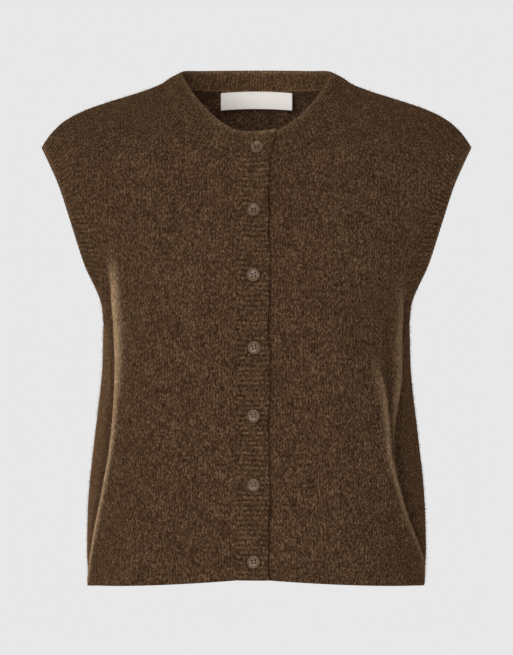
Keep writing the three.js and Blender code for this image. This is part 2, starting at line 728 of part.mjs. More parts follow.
function buttonBand() {
  const gap = [0, 0, -SEAM_GAP / 2];
  const grid = steps(BUTTON_BAND_ROWS).map((share) => frontBandRow(share, underLevel, gap));
  return wallOf(grid.flat(), gridFaces(grid.length, FRONT_BAND_COLUMNS.length));
}

// The label hangs straight down inside the back, from the foot of the neckband
function neckLabel() {
  const middle = NECK[NECK_BACK];
  const beside = NECK[NECK_BACK - 1];
  const sheet = steps(LABEL_ROWS).flatMap((drop) => steps(LABEL_COLUMNS).map((t) => {
    const x = (t - 0.5) * LABEL_WIDTH;
    const bend = (x / beside.seamX) ** 2;
    const cloth = middle.seamY + (beside.seamY - middle.seamY) * bend;
    const y = cloth - WALL - LABEL_WALL - 2 * SEAM_GAP - LABEL_BELLY * Math.sin(drop * Math.PI);
    return { point: [x, y, LABEL_TOP - LABEL_DROP * drop - LABEL_DROOP * bend], out: [0, -1, 0] };
  }));
  return wallOf(sheet, gridFaces(LABEL_ROWS + 1, LABEL_COLUMNS + 1), LABEL_WALL);
}

// A four-hole button lies face up on the XY plane, with its back at zero
const wasm = await Module();
wasm.setup();

function solid(geometry) {
  geometry.deleteAttribute('normal');
  geometry.deleteAttribute('uv');
  const merged = mergeVertices(geometry, MERGE_DISTANCE);
  const triangles = [];
  for (let i = 0; i < merged.index.count; i += 3) {
    const [a, b, c] = merged.index.array.slice(i, i + 3);
    if (a !== b && b !== c && c !== a) triangles.push(a, b, c);
  }
  return new wasm.Manifold(new wasm.Mesh({
    numProp: 3,
    vertProperties: new Float32Array(merged.getAttribute('position').array),
    triVerts: new Uint32Array(triangles),
  }));
}

const BUTTON_PROFILE = table(['radius', 'height'], [
  [0, 0], [0.78, 0], [1, 0.9], [0.97, 2.1], [0.82, 2.5], [0.66, 1.8], [0, 1.5],
]);

function buttonGeometry() {
  const profile = BUTTON_PROFILE.map((p) => new THREE.Vector2(p.radius * BUTTON_RADIUS, p.height));
  let body = solid(new THREE.LatheGeometry(profile, BUTTON_SIDES).rotateX(Math.PI / 2));
  for (const x of [-BUTTON_HOLE_PLACE, BUTTON_HOLE_PLACE]) {
    for (const y of [-BUTTON_HOLE_PLACE, BUTTON_HOLE_PLACE]) {
      const drill = new THREE.CylinderGeometry(
        BUTTON_HOLE_RADIUS, BUTTON_HOLE_RADIUS, BUTTON_DRILL, BUTTON_HOLE_SIDES,
      );
      body = body.subtract(solid(drill.rotateX(Math.PI / 2).translate(x, y, 0)));
    }
  }
  const mesh = body.getMesh();
  const positions = Array.from(mesh.triVerts).flatMap((i) => {
    const start = i * mesh.numProp;
    return Array.from(mesh.vertProperties.slice(start, start + 3));
  });
  return solidFrom(positions);
}

// Where a button's back rests: just over the ribs of the band that carries it, square to the cloth
function buttonSeat({ x, z }, onNeckband) {
  const surface = (dx, dz) => {
    if (!onNeckband) {
      const height = z + dz;
      const out = frontOut(height);
      return moved([x + dx, frontDepth(height), height], out, overLevel(x + dx));
    }
    const t = neckPlace(x + dx);
    const frame = neckFrame(t);
    const edge = neckEdge(t);
    const share = (z + dz - frame.point[2]) / (edge[2] - frame.point[2]);
    const crown = BAND_CROWN * (1 - Math.abs(2 * share - 1));
    return moved(between(frame.point, edge, share), frame.out, crown + overLevel(x + dx));
  };
  const reach = BUTTON_RADIUS * BUTTON_FOOT;
  const alongX = minus(surface(reach, 0), surface(-reach, 0));
  const alongZ = minus(surface(0, reach), surface(0, -reach));
  const out = unit(cross(alongX, alongZ));
  return { centre: moved(surface(0, 0), out, RIB_HEIGHT + BUTTON_SEAT), out };
}

// The whole vest
const vest = new THREE.Group();
vest.name = 'knitted_sweater_vest';

function piece(name, geometry, finish) {
  const mesh = new THREE.Mesh(geometry, finish);
  mesh.name = name;
  vest.add(mesh);
  return mesh;
}

piece('right_front', frontPanel(-1), WOOL);
piece('left_front', frontPanel(1), WOOL);
piece('back', backPanel(), WOOL);
piece('neckband', neckband(), RIB_WOOL);
piece('buttonhole_band', buttonholeBand(), RIB_WOOL);
piece('button_band', buttonBand(), RIB_WOOL);
piece('right_armband', armband(-1), RIB_WOOL);
piece('left_armband', armband(1), RIB_WOOL);
piece('neck_label', neckLabel(), LABEL_CLOTH);
const buttonShape = buttonGeometry();
BUTTONS.forEach((place, i) => {
  const { centre, out } = buttonSeat(place, i === 0);
  const button = piece(`button_${i + 1}`, buttonShape, BUTTON_HORN);
  button.position.set(...centre);
  button.quaternion.setFromUnitVectors(new THREE.Vector3(0, 0, 1), new THREE.Vector3(...out));
});

export default vest;
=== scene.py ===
"""A brushed wool cardigan vest, sleeveless and buttoned, filled out as when worn.

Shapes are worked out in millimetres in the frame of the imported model: +Z up, the front faces -Y and +X is
the wearer's left. Every piece repeats the seams and cross sections of its solid on a finer grid.
"""

import math

import bpy
import numpy as np
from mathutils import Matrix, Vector


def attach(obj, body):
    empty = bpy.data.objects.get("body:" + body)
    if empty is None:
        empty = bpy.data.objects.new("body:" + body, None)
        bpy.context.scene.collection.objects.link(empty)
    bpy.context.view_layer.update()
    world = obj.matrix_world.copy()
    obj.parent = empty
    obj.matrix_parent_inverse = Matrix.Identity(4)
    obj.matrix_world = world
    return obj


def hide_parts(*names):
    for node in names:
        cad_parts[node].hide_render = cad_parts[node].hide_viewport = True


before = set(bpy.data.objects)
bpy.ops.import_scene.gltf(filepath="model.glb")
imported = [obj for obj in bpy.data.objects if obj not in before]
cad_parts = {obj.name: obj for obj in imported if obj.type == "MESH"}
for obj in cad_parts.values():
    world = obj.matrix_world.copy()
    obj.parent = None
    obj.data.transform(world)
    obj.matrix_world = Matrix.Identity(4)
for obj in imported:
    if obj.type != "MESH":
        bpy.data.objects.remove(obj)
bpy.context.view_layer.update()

SEED = 7

# Cloth and its layers
WALL = 2.4
LABEL_GAP = 0.6
LAYER_STEP = 3.4
BAND_CROWN = 0.5
RIM_STEPS = 4
RIM_BULGE = 0.8
TUCK = 0.1

# Rib knit of the bands
RIB_PITCH = 4.8
RIB_HEIGHT = 0.6
RIB_GROOVE = 0.5
RIB_SAMPLES = 8
RIB_ROUNDNESS = 0.7
RIB_UNEVENNESS = 0.15
RIB_RIPPLE = (1.7, 0.37)
RIB_FOOT = (0.2, 0.3)
RIB_END = (0.5, 0.25)
BAND_COLUMNS = 9

# Front fastening
OVER_SEAM_X = -19
OVER_EDGE_X = 11
NECKBAND_LAP_X = 13
NECKBAND_LAP_SLANT = 0.75
FRONT_BAND_COLUMNS = 13
FOOT_BLEND = 0.08
EDGE_WAVE = 0.8
EDGE_RIPPLE = (17, 7.3)

# Label
LABEL_WIDTH = 72
LABEL_DROP = 17
LABEL_WALL = 1
LABEL_TOP = -4.6
LABEL_BELLY = 1.2
LABEL_DROOP = 2
LABEL_COLUMNS = 48
LABEL_ROWS = 14
LABEL_WARP = 0.4
LABEL_WEFT = 0.3

# Buttons
BUTTON_RADIUS = 6.2
BUTTON_SEAT = 0.3
BUTTON_FOOT = 0.6
BUTTON_HOLE_RADIUS = 0.85
BUTTON_HOLE_PLACE = 1.5

# Grids of the panels
FRONT_COLUMNS = 168
BACK_COLUMNS = 84
ROWS_PER_SECTION = 15
PLACE_STEP = 0.01
SEAM_STEP = 0.05
NECK_SEARCH = (-2, 2, 2001)
BAND_SEARCH = 1201


def table(columns, rows):
    """A short table with named columns, as one array for each column."""
    values = np.array(rows, float).T
    return dict(zip(columns, values))


# Depth of the worn form along the middle of the front and of the back
FRONT_PROFILE = table(("z", "y"), [
    (-488, -100), (-400, -104), (-300, -112), (-210, -117), (-150, -107), (-100, -92.5), (-81.3, -87),
])
BACK_PROFILE = table(("z", "y"), [
    (-500, 99), (-400, 95), (-300, 92), (-210, 98), (-130, 103), (-60, 87), (-3.6, 64),
])

# Half width at the side seams
SIDE_PROFILE = table(("z", "x"), [
    (-502, 167), (-470, 168.5), (-411, 166), (-350, 159), (-292, 153), (-243, 152.5),
])

# Foot (seam) and free edge of the neckband, from the middle of the front over the shoulder to the back
BAND = ("seam_x", "seam_y", "seam_z", "edge_x", "edge_y", "edge_z")
NECK = table(BAND, [
    (0, -87, -81.3, 0, -75, -56.2),
    (26, -85, -78.2, 21.5, -72, -52.9),
    (47, -79, -68.5, 38, -64, -42.5),
    (64, -68, -54.5, 52, -51, -28.5),
    (78.5, -50, -36.5, 63.5, -33, -13.5),
    (88.5, -26, -18, 71.5, -13, 0),
    (93, 0, -1, 75, 6, 9.5),
    (86, 23, -1.5, 71, 21, 12.8),
    (66, 44, -3, 56, 38, 14.3),
    (36, 58, -3.4, 31, 51, 15.8),
    (0, 64, -3.6, 0, 56, 16.4),
])
NECK_SHOULDER = 6
NECK_BACK = 10

# Foot and free edge of an armband, from the underarm up the front, over the shoulder and down the back
ARMHOLE = table(BAND, [
    (152.5, 0, -243, 152.5, 0, -222),
    (148.7, -37, -233, 155.2, -28, -213.5),
    (149.9, -56, -210, 162.4, -42, -199),
    (154.9, -64, -184, 169.9, -49, -181),
    (166.9, -62, -139, 182.9, -49, -140),
    (178.4, -54, -98, 193.9, -43, -107),
    (190.4, -33, -66, 205.4, -28, -82),
    (200.9, 0, -47, 214.4, 0, -65.5),
    (190.4, 35, -66, 205.4, 28, -82),
    (177.9, 55, -98, 193.4, 42, -107),
    (166.4, 63, -139, 182.4, 49, -140),
    (155.4, 64, -184, 169.4, 48, -181),
    (150.4, 54, -210, 161.9, 41, -199),
    (149.2, 36, -233, 155.2, 27, -213.5),
])
ARM_TURN = 14

# Cross sections from the hem to the shoulder. inner is a height up to the foot of the neckband, then a
# share of the way along that foot. outer is a height up to the underarm, then a row of the armband.
SECTION = ("inner", "outer", "reach", "shift", "drop", "arrive", "turn", "rise")
FRONT_SECTIONS = table(SECTION, [
    (-488, -502, 88, 0, 7, 76, -99, 6),
    (-455, -470, 90, 0, 7, 80, -101, 5),
    (-400, -411, 92, 0, 2, 84, -103, 1),
    (-340, -350, 94, 0, 1, 84, -104, 0),
    (-282, -292, 95, 0, 1, 82, -102, 0),
    (-230, 0, 93, 0, 1, 76, -97, 3),
    (-194, 1.1, 88, 0, 0, 52, -112, 7),
    (-160, 2.3, 84, -1, 0, 48, -128, 10),
    (-122, 3.5, 76, -1, 4, 48, -140, 12),
    (0, 4.5, 62, -3, 8, 46, -148, 15),
    (0.33, 5.4, 44, -3, 5, 44, -157, 20),
    (0.67, 6.25, 34, 0, 8, 33, -169, 19),
    (1, 7, 29, 0, 15.5, 22.5, -180, 25),
])
BACK_SECTIONS = table(SECTION, [
    (-500, -502, 106, 2, 0, 80, 81, 0),
    (-466, -470, 108, 1, 0, 82, 79, 0),
    (-408, -411, 108, 0, 0, 84, 77, 0),
    (-348, -350, 106, 0, 0, 84, 76, 0),
    (-290, -292, 104, 0, 0, 84, 78, 0),
    (-238, 0, 102, 1, 0, 82, 83, 3),
    (-198, 1.1, 98, 3, 0, 58, 104, 7),
    (-156, 2.3, 94, 4, 0, 52, 122, 9),
    (-108, 3.5, 88, 5, 3, 52, 138, 12),
    (-56, 4.5, 76, 8, 8, 52, 146, 17),
    (1, 5.4, 62, 14, 14, 50, 154, 24),
    (0.5, 6.25, 44, 10, 12, 36, 167, 22),
    (0, 7, 29, 0, 15.5, 22.5, 180, 25),
])
LAST_SECTION = 12
UNDERARM_ROW = 5
LOWEST_SHARE = -1

# Long folds down the sides. Each is a crest along its ridge, a line of heights and places across, with a
# trough beyond it on the side seam's side. near and lee are the widths before and beyond the ridge.
FOLD = ("low", "high", "rise", "dip", "near", "lee", "gap")
RIDGE = ("z", "x")


def fold(values, ridge):
    return {**dict(zip(FOLD, values)), "ridge": table(RIDGE, ridge)}


FOLDS = {
    ("front", -1): [
        fold((-600, -165, 6, 6, 14, 9, 15), [
            (-520, 166), (-479, 160.4), (-446, 154.7), (-409, 147), (-366, 139), (-327, 135), (-287, 133.2),
            (-249, 134.2), (-212, 137.5), (-180, 142),
        ]),
    ],
    ("front", 1): [
        fold((-400, -180, 5, 6, 12, 9, 14), [
            (-400, 135), (-370, 136), (-321, 137.5), (-287, 138.9), (-250, 138.8), (-224, 141.2),
            (-200, 146.7),
        ]),
        fold((-600, -260, 5, 7, 17, 11, 19), [
            (-520, 167), (-477, 161.6), (-453, 153), (-429, 143.3), (-404, 136), (-371, 127),
            (-341, 124.4), (-304, 120.8), (-286, 116.7), (-260, 113),
        ]),
    ],
    ("back", -1): [
        fold((-600, -220, 4, 4, 16, 12, 20), [
            (-520, 157), (-440, 150), (-360, 140), (-290, 136), (-220, 140),
        ]),
    ],
    ("back", 1): [
        fold((-600, -230, 4, 4, 16, 12, 20), [
            (-520, 155), (-430, 147), (-350, 137), (-280, 134), (-220, 138),
        ]),
    ],
}
FOLD_FADE = 60
SEAM_FADE = 24

# The painted highlight along a ridge: its place across and its width, which changes with height. A trough
# gets painted shade, darker by a share.
CREST_HIGHLIGHT_SHIFT = -1.0
CREST_HIGHLIGHT_WIDTHS = table(("z", "width"), [(-600, 3.6), (-350, 4.0), (-265, 8.0), (-160, 8.0)])
TROUGH_SHADE_SHARE = 0.35

# Painted shadow that the raised edge of the front band casts on the wool beside it, and where that ends
SEAM_SHADE = {("front", -1): 0, ("front", 1): 0.55, ("back", -1): 0, ("back", 1): 0}
SEAM_SHADE_WIDTH = 2.2
SEAM_SHADE_TOP = -62
SEAM_SHADE_FADE = 8

# Painted highlight on the fold crests of each half, and how much lighter the wool is towards the free edge of
# a band
CREST_HIGHLIGHT = {("front", -1): 2.0, ("front", 1): 0.85, ("back", -1): 0.35, ("back", 1): 0.35}
BAND_EDGE_LIGHTER = 0.4
BAND_EDGE_LIGHTER_START = 0.8

BUTTONS = [
    (0.5, -73), (-2.5, -132.5), (-2.5, -195.3), (-2, -264.6), (-2.5, -330), (-2.5, -396.4), (-2.5, -470.4),
]


# Curves and small vector helpers
def unit(a):
    return a / np.linalg.norm(a, axis=-1, keepdims=True)


def smooth(t):
    s = np.clip(t, 0, 1)
    return s * s * (3 - 2 * s)


def xyz(x, y, z):
    return np.stack(np.broadcast_arrays(x, y, z), axis=-1).astype(float)


def curve_through(knots, values):
    """Smooth curve through values at rising knots, with slopes from the neighbours."""
    knots = np.asarray(knots, float)
    values = np.asarray(values, float)
    places = np.arange(len(knots))
    before = np.maximum(places - 1, 0)
    after = np.minimum(places + 1, len(knots) - 1)
    slopes = (values[after] - values[before]) / (knots[after] - knots[before])

    def curve(t):
        i = np.searchsorted(knots[1:-1], t)
        span = knots[i + 1] - knots[i]
        s = (t - knots[i]) / span
        s2 = s * s
        s3 = s2 * s
        start = (2 * s3 - 3 * s2 + 1) * values[i] + (s3 - 2 * s2 + s) * span * slopes[i]
        return start + (3 * s2 - 2 * s3) * values[i + 1] + (s3 - s2) * span * slopes[i + 1]

    return curve


front_depth = curve_through(FRONT_PROFILE["z"], FRONT_PROFILE["y"])
back_depth = curve_through(BACK_PROFILE["z"], BACK_PROFILE["y"])
side_width = curve_through(SIDE_PROFILE["z"], SIDE_PROFILE["x"])
crest_highlight_width = curve_through(CREST_HIGHLIGHT_WIDTHS["z"], CREST_HIGHLIGHT_WIDTHS["width"])


def ring(rows):
    """Closed curve through rows of points, by row number."""
    count = len(rows)

    def curve(t):
        i = np.floor(t).astype(int)
        s = (t - i)[..., None]
        a, b, c, d = (rows[(i + k) % count] for k in (-1, 0, 1, 2))
        return b + 0.5 * s * (c - a + s * (2 * a - 5 * b + 4 * c - d + s * (3 * (b - c) + d - a)))

    return curve


def band_rows(rows, prefix):
    return np.stack([rows[prefix + axis] for axis in "xyz"], axis=-1)


def whole_neck(prefix):
    """The neck table as a whole ring. Row numbers rise towards the wearer's right shoulder."""
    left = band_rows(NECK, prefix)
    right = left * (-1, 1, 1)
    return np.concatenate([right, left[-2:0:-1]])


NECK_TURN = len(whole_neck("seam_"))
neck_seam = ring(whole_neck("seam_"))
neck_edge = ring(whole_neck("edge_"))
arm_seam = ring(band_rows(ARMHOLE, "seam_"))
arm_edge = ring(band_rows(ARMHOLE, "edge_"))


def band_frame(seam, edge, t):
    """Point on a band's seam, the direction out of the cloth there, and the way across the band."""
    point = seam(t)
    across = unit(edge(t) - point)
    seam_line = unit(seam(t + SEAM_STEP) - seam(t - SEAM_STEP))
    edge_line = unit(edge(t + SEAM_STEP) - edge(t - SEAM_STEP))
    out = unit(np.cross(across, seam_line + edge_line))
    return point, out, unit(np.cross(seam_line, out))


def neck_frame(t):
    return band_frame(neck_seam, neck_edge, t)


def arm_frame(t):
    return band_frame(arm_seam, arm_edge, t)


PLACES = np.linspace(*NECK_SEARCH)
PLACE_X = neck_seam(PLACES)[:, 0]


def neck_place(x):
    """Row number on the neck ring where its seam crosses a given x at the front."""
    return np.interp(-np.asarray(x, float), -PLACE_X, PLACES)


def over_level(x):
    return LAYER_STEP * smooth((x - OVER_SEAM_X) / (OVER_EDGE_X - OVER_SEAM_X))


def under_level(x):
    return over_level(x) - LAYER_STEP


def front_out(z):
    slope = (front_depth(z + 1) - front_depth(z - 1)) / 2
    return unit(xyz(0, -1, -slope))


# Panels
class Half:
    """Half a body, front or back, as one family of cross sections, on the half with x above zero."""

    def __init__(self, name, side):
        self.front = name == "front"
        self.side = side
        self.rows = FRONT_SECTIONS if self.front else BACK_SECTIONS
        self.folds = FOLDS[(name, side)]
        self.seam_shade = SEAM_SHADE[(name, side)]
        self.painted_light_and_edge_tone = CREST_HIGHLIGHT[(name, side)]
        self.outward = -1 if self.front else 1
        self.depth = front_depth if self.front else back_depth
        self.corner = int(np.argmax(self.rows["inner"] > LOWEST_SHARE))
        self.inner_x = 0
        self.corner_place = float(NECK_BACK)
        if self.front:
            self.inner_x = -OVER_SEAM_X if side < 0 else OVER_EDGE_X
            self.corner_place = abs(float(neck_place(-self.inner_x)))
        other = BACK_SECTIONS if self.front else FRONT_SECTIONS
        numbers = np.arange(LAST_SECTION + 2)
        self.curves = {
            key: curve_through(numbers, np.append(self.rows[key], other[key][LAST_SECTION - 1]))
            for key in ("reach", "shift", "drop", "arrive", "rise")
        }
        self.turn = curve_through(numbers[:-1], self.rows["turn"])

    def column(self, key, v):
        return np.interp(v, np.arange(LAST_SECTION + 1), self.rows[key])

    def neck_at(self, v):
        start = self.rows["inner"][self.corner]
        end = self.rows["inner"][LAST_SECTION]
        share = (self.column("inner", np.maximum(v, self.corner)) - start) / (end - start)
        return self.corner_place + share * (NECK_SHOULDER - self.corner_place)

    def arm_at(self, v):
        place = self.column("outer", np.maximum(v, UNDERARM_ROW))
        return place if self.front else ARM_TURN - place

    def inner(self, v):
        foot = neck_seam(np.array(self.corner_place)) * (-1, 1, 1)
        heights = np.append(self.rows["inner"][:self.corner], foot[2])
        z = np.interp(v, np.arange(self.corner + 1), heights)
        blend = smooth(v - self.corner + 1)
        y = self.depth(z) + blend * (foot[1] - self.depth(foot[2]))
        low = xyz(self.inner_x, y, z)
        high = neck_seam(self.neck_at(v)) * (-1, 1, 1)
        return np.where((v >= self.corner)[..., None], high, low)

    def outer(self, v):
        heights = np.append(self.rows["outer"][:UNDERARM_ROW], ARMHOLE["seam_z"][0])
        z = np.interp(v, np.arange(UNDERARM_ROW + 1), heights)
        low = xyz(side_width(z), 0, z)
        return np.where((v >= UNDERARM_ROW)[..., None], arm_seam(self.arm_at(v)), low)

    def plain(self, u, v):
        start, end = self.inner(v), self.outer(v)
        angle = np.radians(self.turn(v))
        arrive = self.curves["arrive"](v)
        leave = xyz(self.curves["reach"](v), self.outward * self.curves["shift"](v), -self.curves["drop"](v))
        arrival = xyz(np.cos(angle) * arrive, np.sin(angle) * arrive, self.curves["rise"](v))
        w = (1 - u)[..., None]
        u = u[..., None]
        near = w ** 3 * start + 3 * w * w * u * (start + leave)
        return near + 3 * w * u * u * (end + arrival) + u ** 3 * end

    def fold_heights(self, base, along):
        """How far the folds lift each point, and its painted light: a painted highlight on a crest, painted
        shade in a trough and a painted shadow beside the front band.
        """
        total, painted_light_and_edge_tone = np.zeros((2, *along.shape))
        z = base[..., 2]
        rows = np.arange(len(base))
        for fold in self.folds:
            over = base[..., 0] - curve_through(fold["ridge"]["z"], fold["ridge"]["x"])(z)
            j = np.maximum(np.argmax(over >= 0, axis=1), 1)
            near, far = over[rows, j - 1], over[rows, j]
            share = near / np.where(near == far, 1, near - far)
            ridge = along[rows, j - 1] + share * (along[rows, j] - along[rows, j - 1])
            beyond = along - np.where((near < 0) & (far >= 0), ridge, np.inf)[:, None]
            crest = fold["rise"] * np.exp(-((beyond / np.where(beyond < 0, fold["near"], fold["lee"])) ** 2))
            trough = fold["dip"] * np.exp(-(((beyond - fold["gap"]) / fold["lee"]) ** 2))
            fade = smooth((z - fold["low"]) / FOLD_FADE) * smooth((fold["high"] - z) / FOLD_FADE)
            total += fade * (crest - trough)
            # Painted highlight along the ridge; the trough beyond it gets painted shade
            edge = np.exp(-(((beyond - CREST_HIGHLIGHT_SHIFT) / crest_highlight_width(z)) ** 2))
            painted_light_and_edge_tone += fade * (self.painted_light_and_edge_tone * edge - TROUGH_SHADE_SHARE * trough / fold["dip"])
        ease = smooth((along[:, -1:] - along) / SEAM_FADE)
        # Painted shadow beside the front band's raised edge, below the neckband
        seam_shadow = self.seam_shade * np.exp(-((along / SEAM_SHADE_WIDTH) ** 2))
        seam_shadow *= smooth((SEAM_SHADE_TOP - z) / SEAM_SHADE_FADE)
        return total * ease, painted_light_and_edge_tone * ease - seam_shadow

    def side_out(self, v):
        low = np.minimum(v, UNDERARM_ROW)
        angle = np.radians(self.turn(low)) if self.front else np.radians(SIDE_HALF.turn(low))
        line = self.outer(low + PLACE_STEP) - self.outer(np.maximum(low - PLACE_STEP, 0))
        return unit(np.cross(unit(line), xyz(np.cos(angle), np.sin(angle), 0)))

    def grid(self, columns):
        """Points of the cloth, its outward directions, and its stitch coordinates in millimetres."""
        row_places = np.linspace(0, LAST_SECTION, LAST_SECTION * ROWS_PER_SECTION + 1)
        u, v = np.meshgrid(np.linspace(0, 1, columns + 1), row_places)
        base = self.plain(u, v)
        steps = np.linalg.norm(np.diff(base, axis=1), axis=-1)
        across = np.concatenate([np.zeros((len(u), 1)), np.cumsum(steps, axis=1)], axis=1)
        along_u = self.plain(u + PLACE_STEP, v) - self.plain(u - PLACE_STEP, v)
        along_v = self.plain(u, v + PLACE_STEP) - self.plain(u, np.maximum(v - PLACE_STEP, 0))
        out = -self.outward * unit(np.cross(along_u, along_v))
        lift, painted_light_and_edge_tone = self.fold_heights(base, across)
        points = base + out * lift[..., None]
        heights = np.hypot(np.diff(base[..., 1], axis=0), np.diff(base[..., 2], axis=0))
        up = np.concatenate([np.zeros((1, columns + 1)), np.cumsum(heights, axis=0)])
        # The third value carries painted light to the material: highlight on crests, shade in troughs, shadow
        # beside the front band
        stitches = np.stack([base[:, :1, 0] + across, up + self.rows["inner"][0], 1000 * painted_light_and_edge_tone], axis=-1)
        self.finish_edges(out, row_places)
        flip = np.array((self.side, 1, 1))
        return points * flip, unit(out) * flip, stitches * (self.side, 1, 1)

    def finish_edges(self, out, v):
        """Turns the wall square to the seam along each edge."""
        arm_out = arm_frame(self.arm_at(v))[1]
        out[:, -1] = np.where((v >= UNDERARM_ROW)[:, None], arm_out, self.side_out(v))
        neck = v >= self.corner
        neck_out = neck_frame(self.neck_at(v))[1] * (-1, 1, 1)
        out[:, 0] = np.where(neck[:, None], neck_out, out[:, 0])
        if not self.front:
            out[:, 0, 0] = np.where(neck, out[:, 0, 0], 0)


SIDE_HALF = Half("front", -1)


# Meshes
def grid_quads(rows, columns, closed=False):
    """Quads of a grid of points counted row by row. A closed grid joins its last row to its first."""
    i, j = np.meshgrid(np.arange(rows if closed else rows - 1), np.arange(columns - 1), indexing="ij")
    a = (i * columns + j).ravel()
    b = (((i + 1) % rows) * columns + j).ravel()
    return np.stack([a, a + 1, b + 1, b], axis=-1)


def make_object(name, points, faces, materials, stitches=None, slots=None):
    """A smooth mesh object from points in millimetres."""
    mesh = bpy.data.meshes.new(name)
    mesh.from_pydata((np.asarray(points) / 1000).tolist(), [], [list(face) for face in faces])
    for material in materials:
        mesh.materials.append(material)
    if stitches is not None:
        corners = np.zeros(len(mesh.loops), np.int32)
        mesh.loops.foreach_get("vertex_index", corners)
        layer = mesh.uv_layers.new(name="stitches")
        layer.uv.foreach_set("vector", (stitches[corners, :2] / 1000).astype(np.float32).ravel())
        # Painted light, and the lighter tone towards a band's free edge, for the wool material
        if stitches.shape[1] > 2:
            painted_light_and_edge_tone = mesh.attributes.new("painted_light_and_edge_tone", "FLOAT", "POINT")
            painted_light_and_edge_tone.data.foreach_set("value", (stitches[:, 2] / 1000).astype(np.float32))
    if slots is not None:
        mesh.polygons.foreach_set("material_index", np.asarray(slots, np.int32))
    mesh.shade_smooth()
    mesh.update()
    piece = bpy.data.objects.new(name, mesh)
    bpy.context.scene.collection.objects.link(piece)
    return piece


class Sheet:
    """Cloth before it has a thickness: points, outward directions, stitch coordinates and quads.

    soft says which points of its edge are free, where the wall is rounded. The rest meet another piece.
    """

    def __init__(self, points, out, stitches, quads, soft):
        used, places = np.unique(quads, return_inverse=True)
        self.points = points.reshape(-1, 3)[used]
        self.out = out.reshape(-1, 3)[used]
        self.stitches = stitches.reshape(-1, stitches.shape[-1])[used]
        self.soft = soft.reshape(-1)[used]
        self.quads = places.reshape(quads.shape)
        if volume_sign(self.points, self.out, self.quads) < 0:
            self.quads = self.quads[:, ::-1]

    def wall(self, name, materials, thickness=WALL):
        """The sheet grown into a closed wall. materials are outside and inside."""
        count = len(self.points)
        start, end = self.quads, np.roll(self.quads, -1, axis=1)
        free = ~np.isin(start * count + end, end * count + start)
        a, b = start[free], end[free]
        edge, rank = np.unique(a, return_inverse=True)
        rank_b = np.searchsorted(edge, b)
        inner = self.points - self.out * thickness
        away = np.zeros_like(self.points)
        push = np.cross(unit(self.points[b] - self.points[a]), self.out[a])
        np.add.at(away, a, push)
        np.add.at(away, b, push)
        away = unit(away[edge]) * self.soft[edge, None]
        middle = (self.points[edge] + inner[edge]) / 2
        turns = np.pi * np.arange(1, RIM_STEPS) / RIM_STEPS
        half = thickness / 2
        rim = [middle + half * (self.out[edge] * math.cos(k) + away * RIM_BULGE * math.sin(k)) for k in turns]
        first = 2 * count + len(edge) * np.arange(RIM_STEPS - 1)
        at_a = [a, *(n + rank for n in first), a + count]
        at_b = [b, *(n + rank_b for n in first), b + count]
        strips = [np.stack([at_b[k], at_a[k], at_a[k + 1], at_b[k + 1]], axis=-1) for k in range(RIM_STEPS)]
        faces = np.concatenate([self.quads, self.quads[:, ::-1] + count, *strips])
        slots = np.repeat([0, 1, 0], [len(self.quads), len(self.quads), RIM_STEPS * len(a)])
        stitches = np.concatenate([self.stitches] * 2 + [self.stitches[edge]] * (RIM_STEPS - 1))
        points = np.concatenate([self.points, inner, *rim])
        piece = make_object(name, points, faces, materials, stitches, slots)
        hard = (self.soft[a] == 0) | (self.soft[b] == 0)
        a, b = a[hard], b[hard]
        sharpen(piece.data, np.concatenate([a, a + count]), np.concatenate([b, b + count]))
        return piece

    def cell_areas(self):
        corners = self.points[self.quads]
        across, along = corners[:, 2] - corners[:, 0], corners[:, 3] - corners[:, 1]
        return np.linalg.norm(np.cross(across, along), axis=-1) / 2


def sharpen(mesh, a, b):
    """Marks the edges between points a and b as sharp, so that a seam leaves no shading on the cloth."""
    ends = np.zeros(2 * len(mesh.edges), np.int64)
    mesh.edges.foreach_get("vertices", ends)
    ends = np.sort(ends.reshape(-1, 2), axis=1)
    wanted = np.minimum(a, b) * len(mesh.vertices) + np.maximum(a, b)
    sharp = np.isin(ends[:, 0] * len(mesh.vertices) + ends[:, 1], wanted)
    mesh.attributes.new("sharp_edge", "BOOLEAN", "EDGE").data.foreach_set("value", sharp)


def volume_sign(points, out, quads):
    """Positive where the quads face the way that their outward directions point."""
    a, b, c = (points[quads[:, k]] for k in range(3))
    return np.einsum("ij,ij->", np.cross(b - a, c - a), out[quads[:, 0]])


def free_edges(shape, bottom=0.0, left=0.0, right=0.0, top=0.0):
    """Which edges of a grid are free, row zero being its bottom."""
    soft = np.zeros(shape)
    soft[:, 0], soft[:, -1] = left, right
    soft[0], soft[-1] = np.maximum(soft[0], bottom), np.maximum(soft[-1], top)
    return soft


def front_sheet(side):
    points, out, stitches = Half("front", side).grid(FRONT_COLUMNS)
    shape = points.shape[:2]
    return Sheet(points, out, stitches, grid_quads(*shape), free_edges(shape, bottom=1))


def back_sheet():
    """The back is two mirrored halves that share the points of the middle line, up to the neck."""
    halves = [Half("back", side) for side in (-1, 1)]
    grids = [half.grid(BACK_COLUMNS) for half in halves]
    rows, columns = grids[0][0].shape[:2]
    quads = grid_quads(rows, columns)
    corner = halves[0].corner * ROWS_PER_SECTION
    shared = (quads % columns == 0) & (quads // columns <= corner)
    left = np.where(shared, quads, quads + rows * columns)
    points, out, stitches = (np.concatenate([a, b]) for a, b in zip(*grids))
    soft = np.concatenate([free_edges((rows, columns), bottom=1)] * 2)
    return Sheet(points, out, stitches, np.concatenate([quads, left[:, ::-1]]), soft)


# Bands
def rib_places(seam, edge, start, end):
    """Row numbers evenly along a band's middle, and the distance along it in ribs."""
    fine = np.linspace(start, end, BAND_SEARCH)
    middles = (seam(fine) + edge(fine)) / 2
    lengths = np.concatenate([[0], np.cumsum(np.linalg.norm(np.diff(middles, axis=0), axis=-1))])
    ribs = round(lengths[-1] / RIB_PITCH)
    shares = np.linspace(0, 1, ribs * RIB_SAMPLES + 1)
    return np.interp(shares * lengths[-1], lengths, fine), shares * ribs


